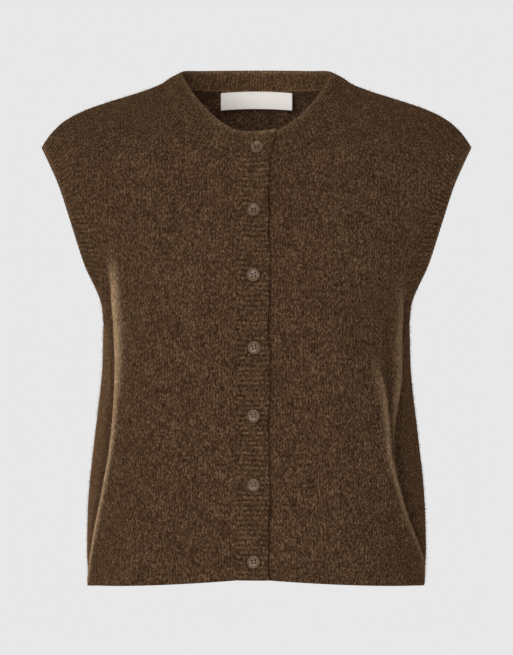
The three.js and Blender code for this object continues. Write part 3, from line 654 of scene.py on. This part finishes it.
def rib_height(turns, share):
    """Rounded ribs with narrow grooves, at shares of the way across. They are low at both edges."""
    wave = 0.5 - 0.5 * np.cos(2 * np.pi * turns)
    relief = (RIB_HEIGHT + RIB_GROOVE) * wave ** RIB_ROUNDNESS - RIB_GROOVE
    ripple = np.sin(RIB_RIPPLE[0] * turns) * np.sin(RIB_RIPPLE[1] * turns)
    uneven = 1 - RIB_UNEVENNESS + RIB_UNEVENNESS * ripple
    foot = RIB_FOOT[0] + (1 - RIB_FOOT[0]) * smooth(share / RIB_FOOT[1])
    end = 1 - RIB_END[0] * smooth((share - 1 + RIB_END[1]) / RIB_END[1])
    return relief * uneven * foot * end


def across_band(point, out, inward, edge, level, turns):
    """Points across a band from its seam to its free edge, with a low crown between."""
    share = np.linspace(0, 1, BAND_COLUMNS)
    seam = point - inward * TUCK
    w = share[None, :, None]
    line = seam[:, None] * (1 - w) + edge[:, None] * w
    crown = BAND_CROWN * 4 * share * (1 - share)
    lift = crown[None] + level(line[..., 0]) + rib_height(turns[:, None], share[None])
    points = line + out[:, None] * lift[..., None]
    width = np.linalg.norm(edge - seam, axis=-1)
    # Lighter towards the band's free edge
    painted_light_and_edge_tone = 1000 * BAND_EDGE_LIGHTER * smooth((share[None] - BAND_EDGE_LIGHTER_START) / (1 - BAND_EDGE_LIGHTER_START))
    layout = np.broadcast_arrays(turns[:, None] * RIB_PITCH, share[None] * width[:, None], painted_light_and_edge_tone)
    stitches = np.stack(layout, axis=-1)
    return points, np.broadcast_to(out[:, None], points.shape).copy(), stitches


def neckband_grid():
    start = float(neck_place(NECKBAND_LAP_X))
    end = NECK_TURN + float(neck_place(OVER_SEAM_X))
    t, turns = rib_places(neck_seam, neck_edge, start, end)
    point, out, inward = neck_frame(t)
    edge = neck_edge(np.where(t < 0, t * (1 + NECKBAND_LAP_SLANT), t))
    over = (t < NECK_SHOULDER)[:, None]
    under = (t > NECK_TURN - NECK_SHOULDER)[:, None]

    def level(x):
        return np.where(over, over_level(x), np.where(under, under_level(x), 0))

    return across_band(point, out, inward, edge, level, turns)


def armband_grid(side):
    t, turns = rib_places(arm_seam, arm_edge, 0, ARM_TURN)
    t, turns = t[:-1], turns[:-1]
    point, out, inward = arm_frame(t)
    points, outs, stitches = across_band(point, out, inward, arm_edge(t), np.zeros_like, turns)
    flip = np.array((side, 1, 1))
    return points * flip, outs * flip, stitches


def front_band_grid(level, wave):
    """A band down the front, over or under, from the hem to the foot of the neckband."""
    share_x = np.linspace(0, 1, FRONT_BAND_COLUMNS)
    x = OVER_SEAM_X + (OVER_EDGE_X - OVER_SEAM_X) * share_x
    foot, foot_out, foot_inward = neck_frame(neck_place(x))
    bottom = FRONT_SECTIONS["inner"][0]
    ribs = round((NECK["seam_z"][0] - bottom) / RIB_PITCH)
    share = np.linspace(0, 1, ribs * RIB_SAMPLES + 1)[:, None]
    top = foot + foot_inward * TUCK
    z = bottom + share * (top[None, :, 2] - bottom)
    blend = smooth((share - 1 + FOOT_BLEND) / FOOT_BLEND)
    y = front_depth(z) + blend * (top[None, :, 1] - front_depth(top[None, :, 2]))
    out = unit(front_out(z) * (1 - blend[..., None]) + foot_out[None] * blend[..., None])
    height = level(x)[None] + rib_height(share * ribs, share_x[None])
    ripple = np.sin(z / EDGE_RIPPLE[0]) + 0.7 * np.sin(z / EDGE_RIPPLE[1] + 1)
    shift = wave * ripple * share_x[None] ** 3 * (1 - blend)
    points = xyz(x[None] + shift, y, z) + out * height[..., None]
    stitches = np.stack(np.broadcast_arrays(share * ribs * RIB_PITCH, x[None]), axis=-1)
    return points, out, stitches


# Label
def label_grid():
    t, drop = np.meshgrid(np.linspace(-0.5, 0.5, LABEL_COLUMNS + 1), np.linspace(0, 1, LABEL_ROWS + 1))
    x = t * LABEL_WIDTH
    bend = (x / NECK["seam_x"][NECK_BACK - 1]) ** 2
    middle, beside = NECK["seam_y"][NECK_BACK], NECK["seam_y"][NECK_BACK - 1]
    cloth = middle + (beside - middle) * bend
    y = cloth - WALL - LABEL_WALL - LABEL_GAP - LABEL_BELLY * np.sin(drop * np.pi)
    points = xyz(x, y, LABEL_TOP - LABEL_DROP * drop - LABEL_DROOP * bend)
    out = np.broadcast_to((0.0, -1.0, 0.0), points.shape).copy()
    return points, out, np.stack([x, drop * LABEL_DROP], axis=-1)


# Buttons
BUTTON_PROFILE = [
    (0, 0), (0.7, 0), (0.86, 0.12), (0.96, 0.5), (1, 1.0), (1, 1.6), (0.985, 2.05), (0.94, 2.38),
    (0.87, 2.5), (0.8, 2.4), (0.74, 2.1), (0.68, 1.78), (0.6, 1.62), (0.4, 1.54), (0, 1.5),
]
BUTTON_SIDES = 64
HOLE_SIDES = 20
HOLE_REACH = 5
BUTTON_BEVEL = 0.14
BEVEL_ANGLE = 50
SHARP_ANGLE = 40

# Thread: places of the strands, then how each one arches and dives into its holes
THREADS = (-1.68, -1.32, 1.32, 1.68)
THREAD_RADIUS = 0.17
THREAD_SIDES = 8
THREAD_POINTS = 13
THREAD_ARCH = 0.3
THREAD_INSET = 0.15
THREAD_DIVE = (0.8, 8)


def tube_faces(rings, sides, first=0):
    """Quads that join rings of points, counted ring by ring from a first point."""
    faces = []
    for start in range(first, first + (rings - 1) * sides, sides):
        for i in range(sides):
            a, b = start + i, start + (i + 1) % sides
            faces.append((a, b, b + sides, a + sides))
    return faces


def lathe(profile, sides):
    angles = np.linspace(0, 2 * np.pi, sides, endpoint=False)
    rings = [xyz(r * np.cos(angles), r * np.sin(angles), z) for r, z in profile[1:-1]]
    points = np.concatenate([[(0, 0, profile[0][1])], *rings, [(0, 0, profile[-1][1])]])
    faces = tube_faces(len(rings), sides, 1)
    end = len(points) - 1
    for i in range(sides):
        nxt = (i + 1) % sides
        faces.append((0, 1 + nxt, 1 + i))
        faces.append((end, end - sides + i, end - sides + nxt))
    return points, faces


def button_shape(material):
    """A four-hole button, face up on the XY plane with its back at zero."""
    points, faces = lathe([(r * BUTTON_RADIUS, z) for r, z in BUTTON_PROFILE], BUTTON_SIDES)
    body = make_object("button_body", points, faces, [material])
    cutters = []
    for x in (-BUTTON_HOLE_PLACE, BUTTON_HOLE_PLACE):
        for y in (-BUTTON_HOLE_PLACE, BUTTON_HOLE_PLACE):
            drill = [(0, -HOLE_REACH), (BUTTON_HOLE_RADIUS, -HOLE_REACH)]
            drill += [(BUTTON_HOLE_RADIUS, HOLE_REACH), (0, HOLE_REACH)]
            points, faces = lathe(drill, HOLE_SIDES)
            cutter = make_object("drill", points + np.array((x, y, 0)), faces, [material])
            cutters.append(cutter)
            cut = body.modifiers.new("hole", "BOOLEAN")
            cut.object = cutter
            cut.solver = "EXACT"
    soften = body.modifiers.new("soften", "BEVEL")
    soften.width = BUTTON_BEVEL / 1000
    soften.segments = 2
    soften.limit_method = "ANGLE"
    soften.angle_limit = math.radians(BEVEL_ANGLE)
    graph = bpy.context.evaluated_depsgraph_get()
    shape = bpy.data.meshes.new_from_object(body.evaluated_get(graph))
    shape.set_sharp_from_angle(angle=math.radians(SHARP_ANGLE))
    for helper in (body, *cutters):
        bpy.data.objects.remove(helper)
    return shape


def tube(path, radius, sides):
    """A closed tube along a path, with pinched ends."""
    path = np.asarray(path, float)
    ahead = unit(np.gradient(path, axis=0))
    side = unit(np.cross(ahead, (1.0, 0.0, 0.0)) + 1e-9)
    up = np.cross(side, ahead)
    angles = np.linspace(0, 2 * np.pi, sides, endpoint=False)
    circle = np.cos(angles)[None, :, None] * side[:, None] + np.sin(angles)[None, :, None] * up[:, None]
    points = (path[:, None] + radius * circle).reshape(-1, 3)
    faces = tube_faces(len(path), sides)
    faces.append(tuple(range(sides))[::-1])
    faces.append(tuple(range(len(points) - sides, len(points))))
    return points, faces


def thread_shape(material):
    """Sewing thread through a button: two pairs of strands that arch from hole to hole."""
    points, faces = [], []
    face_height = BUTTON_PROFILE[-1][1]
    for x in THREADS:
        turn = np.linspace(-1, 1, THREAD_POINTS)
        y = turn * (BUTTON_HOLE_PLACE - THREAD_INSET)
        dive = THREAD_DIVE[1] * np.maximum(np.abs(turn) - THREAD_DIVE[0], 0)
        z = face_height + THREAD_ARCH * (1 - turn ** 4) - dive
        strand, quads = tube(xyz(x, y, z), THREAD_RADIUS, THREAD_SIDES)
        offset = sum(len(p) for p in points)
        points.append(strand)
        faces += [tuple(i + offset for i in face) for face in quads]
    helper = make_object("strands", np.concatenate(points), faces, [material])
    shape = helper.data
    bpy.data.objects.remove(helper)
    return shape


def button_seat(x, z, on_neckband):
    """Where a button's back rests: just over the ribs of its band, square to the cloth."""
    def surface(dx, dz):
        if not on_neckband:
            height = np.array(z + dz, float)
            return xyz(x + dx, front_depth(height), height) + front_out(height) * over_level(x + dx)
        t = np.array(float(neck_place(x + dx)))
        point, out, _ = neck_frame(t)
        edge = neck_edge(t)
        share = (z + dz - point[2]) / (edge[2] - point[2])
        crown = BAND_CROWN * (1 - abs(2 * share - 1))
        return point * (1 - share) + edge * share + out * (crown + over_level(x + dx))

    reach = BUTTON_RADIUS * BUTTON_FOOT
    out = unit(np.cross(surface(reach, 0) - surface(-reach, 0), surface(0, reach) - surface(0, -reach)))
    return surface(0, 0) + out * (RIB_HEIGHT + BUTTON_SEAT), out


# Nap: the loose fibres of brushed wool
NAP_DENSITY = 0.2
FIBRE_WIDTH = 0.26
FIBRE_LIFT = (0.1, 1.8)
FIBRE_LENGTH = (1.4, 4.4)
FIBRE_SPREAD = 1.1
FIBRE_ROOT = 0.2
FIBRE_CORNERS = (0, 2 * math.pi / 3, 4 * math.pi / 3)


def nap(name, sheet, material, seed):
    """Short fibres that stand off a sheet at many angles, each a closed three-sided spike."""
    random = np.random.default_rng(SEED + seed)
    areas = sheet.cell_areas()
    count = int(areas.sum() * NAP_DENSITY)
    cells = random.choice(len(areas), count, p=areas / areas.sum())
    a, b = random.random((2, count, 1))
    quad = sheet.points[sheet.quads[cells]]
    low = quad[:, 0] * (1 - a) + quad[:, 1] * a
    high = quad[:, 3] * (1 - a) + quad[:, 2] * a
    out = unit(sheet.out[sheet.quads[cells, 0]])
    down = unit(np.array((0.0, 0.0, -1.0)) - out * -out[:, 2:3] + 1e-6)
    aside = np.cross(out, down)
    angle = random.normal(0, FIBRE_SPREAD, (count, 1))
    lift = random.uniform(*FIBRE_LIFT, (count, 1)) ** 1.5
    ahead = unit(down * np.cos(angle) + aside * np.sin(angle) + out * lift)
    side = unit(np.cross(ahead, out))
    up = np.cross(side, ahead)
    width = FIBRE_WIDTH * random.uniform(0.5, 1, (count, 1)) / 2
    root = low * (1 - b) + high * b - out * FIBRE_ROOT
    feet = [root + width * (side * math.cos(k) + up * math.sin(k)) for k in FIBRE_CORNERS]
    tip = root + ahead * random.uniform(*FIBRE_LENGTH, (count, 1))
    points = np.stack([*feet, tip], axis=1)
    first = np.arange(count)[:, None] * 4
    faces = np.concatenate([first + corner for corner in ((2, 1, 0), (0, 1, 3), (1, 2, 3), (2, 0, 3))])
    return make_object(name, points.reshape(-1, 3), faces.tolist(), [material])


# Materials
class Shader:
    """A material on the Principled shader, with short ways to add nodes."""

    def __init__(self, name, **constants):
        self.material = bpy.data.materials.new(name)
        self.material.use_nodes = True
        self.tree = self.material.node_tree
        self.surface = self.tree.nodes["Principled BSDF"]
        for socket, value in constants.items():
            self.surface.inputs[socket.replace("_", " ")].default_value = value

    def join(self, socket, value):
        if isinstance(value, bpy.types.NodeSocket):
            self.tree.links.new(value, socket)
        else:
            socket.default_value = value

    def node(self, kind, settings=(), **inputs):
        node = self.tree.nodes.new("ShaderNode" + kind)
        for key, value in dict(settings).items():
            setattr(node, key, value)
        for key, value in inputs.items():
            self.join(node.inputs[key.replace("_", " ")], value)
        return node

    def math(self, operation, *values):
        node = self.node("Math", {"operation": operation})
        for socket, value in zip(node.inputs, values):
            self.join(socket, value)
        return node.outputs[0]

    def millimetres(self, scale=(1, 1, 1)):
        """Object coordinates in millimetres, times a scale for each axis."""
        place = self.node("TexCoord").outputs["Object"]
        node = self.node("VectorMath", {"operation": "MULTIPLY"})
        self.join(node.inputs[0], place)
        node.inputs[1].default_value = [1000 * k for k in scale]
        return node.outputs[0]

    def noise(self, vector, scale, detail=2.0, roughness=0.5):
        node = self.node("TexNoise", Vector=vector, Scale=scale, Detail=detail, Roughness=roughness)
        return node.outputs[0]

    def ramp(self, factor, stops):
        node = self.node("ValToRGB", Fac=factor)
        elements = node.color_ramp.elements
        while len(elements) < len(stops):
            elements.new(0.5)
        for element, (place, colour) in zip(elements, stops):
            element.position = place
            element.color = (*colour, 1)
        return node.outputs["Color"]

    def multiplied(self, colour, factor):
        """A colour made darker or lighter by a factor."""
        node = self.node("VectorMath", {"operation": "SCALE"})
        self.join(node.inputs[0], colour)
        self.join(node.inputs["Scale"], factor)
        return node.outputs[0]

    def added(self, colour, share, base):
        """A share of a colour, added to a base."""
        node = self.node("VectorMath", {"operation": "MULTIPLY_ADD"})
        for socket, value in zip(node.inputs, (colour, share, base)):
            self.join(socket, value)
        return node.outputs[0]

    def stitch_places(self):
        """How far across and along the cloth a point lies, in metres."""
        places = self.node("UVMap", {"uv_map": "stitches"}).outputs[0]
        return self.node("SeparateXYZ", Vector=places).outputs

    def paint(self, colour):
        self.join(self.surface.inputs["Base Color"], colour)

    def bump(self, height, distance):
        node = self.node("Bump", Height=height, Distance=distance / 1000, Strength=1.0)
        self.join(self.surface.inputs["Normal"], node.outputs[0])


def linear(red, green, blue):
    """A colour as seen on screen, from 0 to 255, as the light that it stands for."""
    values = np.array((red, green, blue)) / 255
    return tuple(np.where(values > 0.04045, ((values + 0.055) / 1.055) ** 2.4, values / 12.92))


# Stitches and ribs, in millimetres
WALE = 5.6
COURSE = 4.1
INSIDE_PITCH = 2.88
KNIT_DEPTH = 0.5
KNIT_SLANT = 0.9
PURL_SLANT = 0.35
KNIT_ROUNDNESS = 0.6
PICKED_UP_ROW = 1.3

# Scales of the noises, for each millimetre, and how far each one moves or mottles the wool
WOBBLE_SCALE = 0.16
WOBBLE = 0.8
SLIP_SCALE = 0.21
FLUFF_SCALE = 1.2
FLUFF_SHARE = 0.45
FLUFF_HEIGHT = 0.9
MOTTLE_SCALE = 0.55
CLOUD_SCALE = 0.085
CLOUD_SHARE = 0.2
FINE_GRAIN = 0.6
UPRIGHT = (1, 1, 0.6)
CLOUD_SHAPE = (1, 1, 0.8)

# Painted shade between the stitches, and the pale tone of the painted highlight on a crest and of a band's
# lighter free edge
SHADE_LOW = 0.66
STITCH_SHADE = 0.22
CORD_SHADE = 0.22
HIGHLIGHT_AND_EDGE_TONE = linear(160, 143, 112)
HIGHLIGHT_AND_EDGE_SHARE = 0.19


def wool(name, stops, wale, purl=False, groove_shade=0.0, pitch=RIB_PITCH, seam=0.0):
    """Brushed melange wool: knit stitches in relief under a mottle of dark and light fibres, with painted
    shade between the stitches and in rib grooves, and painted light from the mesh.
    """
    shader = Shader(
        name,
        Roughness=0.95, Specular_IOR_Level=0.0, Sheen_Weight=0.1, Sheen_Roughness=0.4,
        Sheen_Tint=(*linear(205, 158, 112), 1),
    )
    place = shader.millimetres()
    parts = shader.stitch_places()
    sway = shader.math("SUBTRACT", shader.noise(place, WOBBLE_SCALE, 1), 0.5)
    wobble = shader.math("MULTIPLY", sway, WOBBLE)
    slip = shader.noise(place, SLIP_SCALE, 1)
    across = shader.math("MULTIPLY_ADD", parts[0], 1000 / wale, wobble)
    along = shader.math("MULTIPLY_ADD", parts[1], 1000 / COURSE, slip)
    column = shader.math("FRACT", across)
    arm = shader.math("MULTIPLY", shader.math("ABSOLUTE", shader.math("SUBTRACT", column, 0.5)), 2)
    cord = shader.math("SINE", shader.math("MULTIPLY", arm, math.pi))
    if purl:
        slanted = shader.math("MULTIPLY_ADD", arm, PURL_SLANT, along)
        ridge = shader.math("SINE", shader.math("MULTIPLY", shader.math("FRACT", slanted), math.pi))
        swell = shader.math("SUBTRACT", 1.1, shader.math("MULTIPLY", arm, 0.5))
        stitch = shader.math("MULTIPLY", ridge, swell)
    else:
        slanted = shader.math("MULTIPLY_ADD", arm, KNIT_SLANT, along)
        loop = shader.math("SINE", shader.math("MULTIPLY", shader.math("FRACT", slanted), math.pi))
        stitch = shader.math("POWER", shader.math("MULTIPLY", loop, cord), KNIT_ROUNDNESS)
    upright = shader.millimetres(UPRIGHT)
    fluff = shader.noise(upright, FLUFF_SCALE, 2, FINE_GRAIN)
    mottle = shader.noise(upright, MOTTLE_SCALE, 3, FINE_GRAIN)
    cloud = shader.noise(shader.millimetres(CLOUD_SHAPE), CLOUD_SCALE, 3, FINE_GRAIN)
    tone = shader.math("MULTIPLY_ADD", shader.math("SUBTRACT", fluff, 0.5), FLUFF_SHARE, mottle)
    tone = shader.math("MULTIPLY_ADD", shader.math("SUBTRACT", cloud, 0.5), CLOUD_SHARE, tone)
    colour = shader.ramp(tone, stops)
    # Painted shade between the stitches and between the legs of each wale
    shade = shader.math("MULTIPLY_ADD", stitch, STITCH_SHADE, SHADE_LOW)
    shade = shader.math("MULTIPLY_ADD", cord, CORD_SHADE, shade)
    # Painted shade in the grooves between the ribs
    if groove_shade:
        phase = shader.math("MULTIPLY_ADD", parts[0], 2000 * math.pi / pitch, wobble)
        groove_darkening = shader.math("MULTIPLY_ADD", shader.math("COSINE", phase), -groove_shade, 1.0)
        shade = shader.math("MULTIPLY", shade, groove_darkening)
    if seam:
        picked_up = shader.math("LESS_THAN", parts[1], PICKED_UP_ROW / 1000)
        shade = shader.math("MULTIPLY", shade, shader.math("MULTIPLY_ADD", picked_up, seam, 1.0))
    # Painted light from the mesh: painted highlight on crests, painted shade in troughs and beside the front
    # band, and a lighter band edge
    painted_light_and_edge_tone = shader.node("Attribute", {"attribute_name": "painted_light_and_edge_tone"}).outputs["Fac"]
    shade = shader.math("MULTIPLY", shade, shader.math("ADD", painted_light_and_edge_tone, 1.0))
    highlight_and_edge_amount = shader.math("MAXIMUM", shader.math("MULTIPLY", painted_light_and_edge_tone, HIGHLIGHT_AND_EDGE_SHARE), 0.0)
    shader.paint(shader.added(HIGHLIGHT_AND_EDGE_TONE, highlight_and_edge_amount, shader.multiplied(colour, shade)))
    shader.bump(shader.math("MULTIPLY_ADD", fluff, FLUFF_HEIGHT, stitch), KNIT_DEPTH)
    return shader.material


BODY_TONES = [(0.28, linear(33, 21, 13)), (0.5, linear(61, 43, 30)), (0.73, linear(98, 78, 59))]
RIB_TONES = [(0.3, linear(36, 24, 16)), (0.5, linear(65, 46, 32)), (0.71, linear(104, 83, 62))]
# The two inside tones are lighter copies of the same yarn: painted light that lifts the shaded inside of the
# vest
RIB_INSIDE_LIGHTENED_TONES = [(0.28, linear(44, 30, 20)), (0.5, linear(76, 55, 38)), (0.73, linear(116, 92, 69))]
INSIDE_LIGHTENED_TONES = [(0.28, linear(37, 26, 18)), (0.5, linear(66, 46, 33)), (0.73, linear(106, 83, 62))]


def fibre_material():
    shader = Shader("loose_fibre", Roughness=0.9, Specular_IOR_Level=0.0)
    tone = shader.noise(shader.millimetres(), 0.7, 1)
    stops = [(0.35, linear(66, 46, 31)), (0.5, linear(110, 82, 57)), (0.66, linear(176, 142, 107))]
    shader.paint(shader.ramp(tone, stops))
    return shader.material


def label_material():
    shader = Shader("woven_label", Roughness=0.62, Sheen_Weight=0.15, Specular_IOR_Level=0.3)
    parts = shader.stitch_places()
    warp = shader.math("SINE", shader.math("MULTIPLY", parts[0], 1000 * math.pi / LABEL_WARP))
    weft = shader.math("SINE", shader.math("MULTIPLY", parts[1], 1000 * math.pi / LABEL_WEFT))
    weave = shader.math("MULTIPLY", warp, weft)
    tone = shader.noise(shader.millimetres(), 1.2, 2)
    stops = [(0.3, linear(205, 199, 193)), (0.7, linear(217, 212, 207))]
    shader.paint(shader.ramp(tone, stops))
    shader.bump(weave, 0.08)
    return shader.material


def button_material():
    shader = Shader("button_horn", Roughness=0.3, Specular_IOR_Level=0.25)
    cloud = shader.noise(shader.millimetres(), 0.7, 4, 0.7)
    stops = [(0.35, linear(52, 38, 26)), (0.5, linear(76, 58, 41)), (0.66, linear(116, 93, 70))]
    shader.paint(shader.ramp(cloud, stops))
    shader.bump(shader.noise(shader.millimetres(), 1.6, 2), 0.05)
    return shader.material


def thread_material():
    shader = Shader("sewing_thread", Roughness=0.75, Specular_IOR_Level=0.2)
    twist = shader.noise(shader.millimetres((4, 1, 1)), 1.2, 2)
    stops = [(0.35, linear(44, 32, 23)), (0.65, linear(80, 62, 48))]
    shader.paint(shader.ramp(twist, stops))
    shader.bump(twist, 0.08)
    return shader.material


def floor_material():
    shader = Shader("studio_floor", Roughness=0.9, Specular_IOR_Level=0.1)
    distance = shader.node("VectorMath", {"operation": "LENGTH"})
    shader.join(distance.inputs[0], shader.node("TexCoord").outputs["Object"])
    grain = shader.noise(shader.millimetres(), 0.02, 2)
    stops = [(0.3, linear(226, 226, 226)), (0.7, linear(234, 234, 234))]
    shader.paint(shader.ramp(grain, stops))
    fade = shader.node(
        "MapRange", {"interpolation_type": "SMOOTHSTEP"}, Value=distance.outputs["Value"],
        From_Min=FLOOR_SOLID, From_Max=FLOOR_RADIUS, To_Min=1, To_Max=0,
    )
    shader.join(shader.surface.inputs["Alpha"], fade.outputs["Result"])
    return shader.material


# The stage, in metres
FLOOR_HEIGHT = -0.95
FLOOR_SOLID = 0.9
FLOOR_RADIUS = 2.8
FLOOR_SIDES = 96
CAMERA_DISTANCE = 2.6
CAMERA_HEIGHT = -0.2455
CAMERA_LENS = 142.9
CAMERA_SENSOR = 36
BACKGROUND = linear(232, 232, 232)
AMBIENT = 0.34


def set_camera():
    data = bpy.data.cameras.new("camera")
    data.lens = CAMERA_LENS
    data.sensor_width = CAMERA_SENSOR
    camera = bpy.data.objects.new("camera", data)
    camera.location = (0, -CAMERA_DISTANCE, CAMERA_HEIGHT)
    camera.rotation_euler = (math.pi / 2, 0, 0)
    bpy.context.scene.collection.objects.link(camera)
    bpy.context.scene.camera = camera


def set_world():
    world = bpy.data.worlds.new("studio")
    world.use_nodes = True
    tree = world.node_tree
    seen = tree.nodes["Background"]
    seen.inputs["Color"].default_value = (*BACKGROUND, 1)
    lighting = tree.nodes.new("ShaderNodeBackground")
    lighting.inputs["Color"].default_value = (1, 1, 1, 1)
    lighting.inputs["Strength"].default_value = AMBIENT
    mix = tree.nodes.new("ShaderNodeMixShader")
    rays = tree.nodes.new("ShaderNodeLightPath")
    tree.links.new(rays.outputs["Is Camera Ray"], mix.inputs[0])
    tree.links.new(lighting.outputs[0], mix.inputs[1])
    tree.links.new(seen.outputs[0], mix.inputs[2])
    tree.links.new(mix.outputs[0], tree.nodes["World Output"].inputs["Surface"])
    bpy.context.scene.world = world
    bpy.context.scene.view_settings.view_transform = "Standard"


def softbox(name, place, aim, width, height, power):
    data = bpy.data.lights.new(name, "AREA")
    data.shape = "RECTANGLE"
    data.size = width
    data.size_y = height
    data.energy = power
    lamp = bpy.data.objects.new(name, data)
    lamp.location = place
    lamp.rotation_euler = (Vector(aim) - Vector(place)).to_track_quat("-Z", "Y").to_euler()
    bpy.context.scene.collection.objects.link(lamp)


def set_floor():
    points, faces = lathe([(0, 0), (FLOOR_RADIUS * 1000, 0), (0, 0)], FLOOR_SIDES)
    top = [face for face in faces if len(points) - 1 not in face]
    floor = make_object("floor", points[:-1], top, [floor_material()])
    floor.location = (0, 0, FLOOR_HEIGHT)


set_camera()
set_world()
set_floor()
softbox("front", (-0.7, -3.2, 0.0), (0, 0, -0.25), 1.8, 1.8, 88)
softbox("neck_fill", (1.6, -2.2, 1.3), (0, 0, -0.1), 0.8, 0.8, 22)
softbox("key", (-1.9, -2.3, 0.5), (0, 0, -0.25), 1.0, 1.0, 22)
softbox("left_rim", (-1.25, 2.6, -0.2), (0, 0, -0.25), 0.7, 2.0, 230)
softbox("back", (0.8, 3.0, 0.4), (0, 0, -0.25), 2.0, 2.0, 14)

# The vest
OUTSIDE = wool("wool_plain_knit", BODY_TONES, WALE)
INSIDE = wool("wool_plain_knit_inside", INSIDE_LIGHTENED_TONES, WALE, purl=True)
RIB = wool("wool_rib_knit", RIB_TONES, RIB_PITCH / 2, groove_shade=0.25)
NECK_RIB = wool("wool_rib_knit_neck", RIB_TONES, RIB_PITCH / 2, groove_shade=0.14)
RIB_INSIDE = wool(
    "wool_rib_knit_inside", RIB_INSIDE_LIGHTENED_TONES, INSIDE_PITCH,
    groove_shade=0.26, pitch=INSIDE_PITCH, seam=0.7,
)
FIBRE = fibre_material()

panel_pieces = {
    "right_front": front_sheet(-1),
    "left_front": front_sheet(1),
    "back": back_sheet(),
}


def dress(piece, node):
    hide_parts(node)
    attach(piece, "root")


def band_sheet(grid, closed=False, **free):
    points, out, stitches = grid
    shape = points.shape[:2]
    return Sheet(points, out, stitches, grid_quads(*shape, closed), free_edges(shape, **free))


band_pieces = {
    "neckband": band_sheet(neckband_grid(), bottom=1, right=1),
    "buttonhole_band": band_sheet(front_band_grid(over_level, EDGE_WAVE), bottom=1, right=1),
    "button_band": band_sheet(front_band_grid(under_level, 0), bottom=1, left=1),
    "right_armband": band_sheet(armband_grid(-1), True, right=1),
    "left_armband": band_sheet(armband_grid(1), True, right=1),
}

FACES = {**{name: [OUTSIDE, INSIDE] for name in panel_pieces}, "neckband": [NECK_RIB, RIB_INSIDE]}
for number, (name, sheet) in enumerate({**panel_pieces, **band_pieces}.items()):
    piece = sheet.wall(name + "_knit", FACES.get(name, [RIB, RIB_INSIDE]))
    dress(piece, name)
    if name != "button_band":
        fibres = nap(name + "_nap", sheet, FIBRE, number)
        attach(fibres, "root")

points, out, stitches = label_grid()
label = Sheet(points, out, stitches, grid_quads(*points.shape[:2]), np.ones(points.shape[:2]))
label_piece = label.wall("neck_label_woven", [label_material()] * 2, LABEL_WALL)
dress(label_piece, "neck_label")

HORN = button_material()
button_mesh = button_shape(HORN)
thread_mesh = thread_shape(thread_material())
for number, (x, z) in enumerate(BUTTONS, 1):
    centre, out = button_seat(x, z, number == 1)
    turn = Vector((0, 0, 1)).rotation_difference(Vector(out))
    for shape, suffix in ((button_mesh, "horn"), (thread_mesh, "thread")):
        copy = bpy.data.objects.new(f"button_{number}_{suffix}", shape.copy())
        bpy.context.scene.collection.objects.link(copy)
        copy.rotation_mode = "QUATERNION"
        copy.rotation_quaternion = turn
        copy.location = Vector(centre) / 1000
        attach(copy, "root")
        if suffix == "horn":
            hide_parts(f"button_{number}")
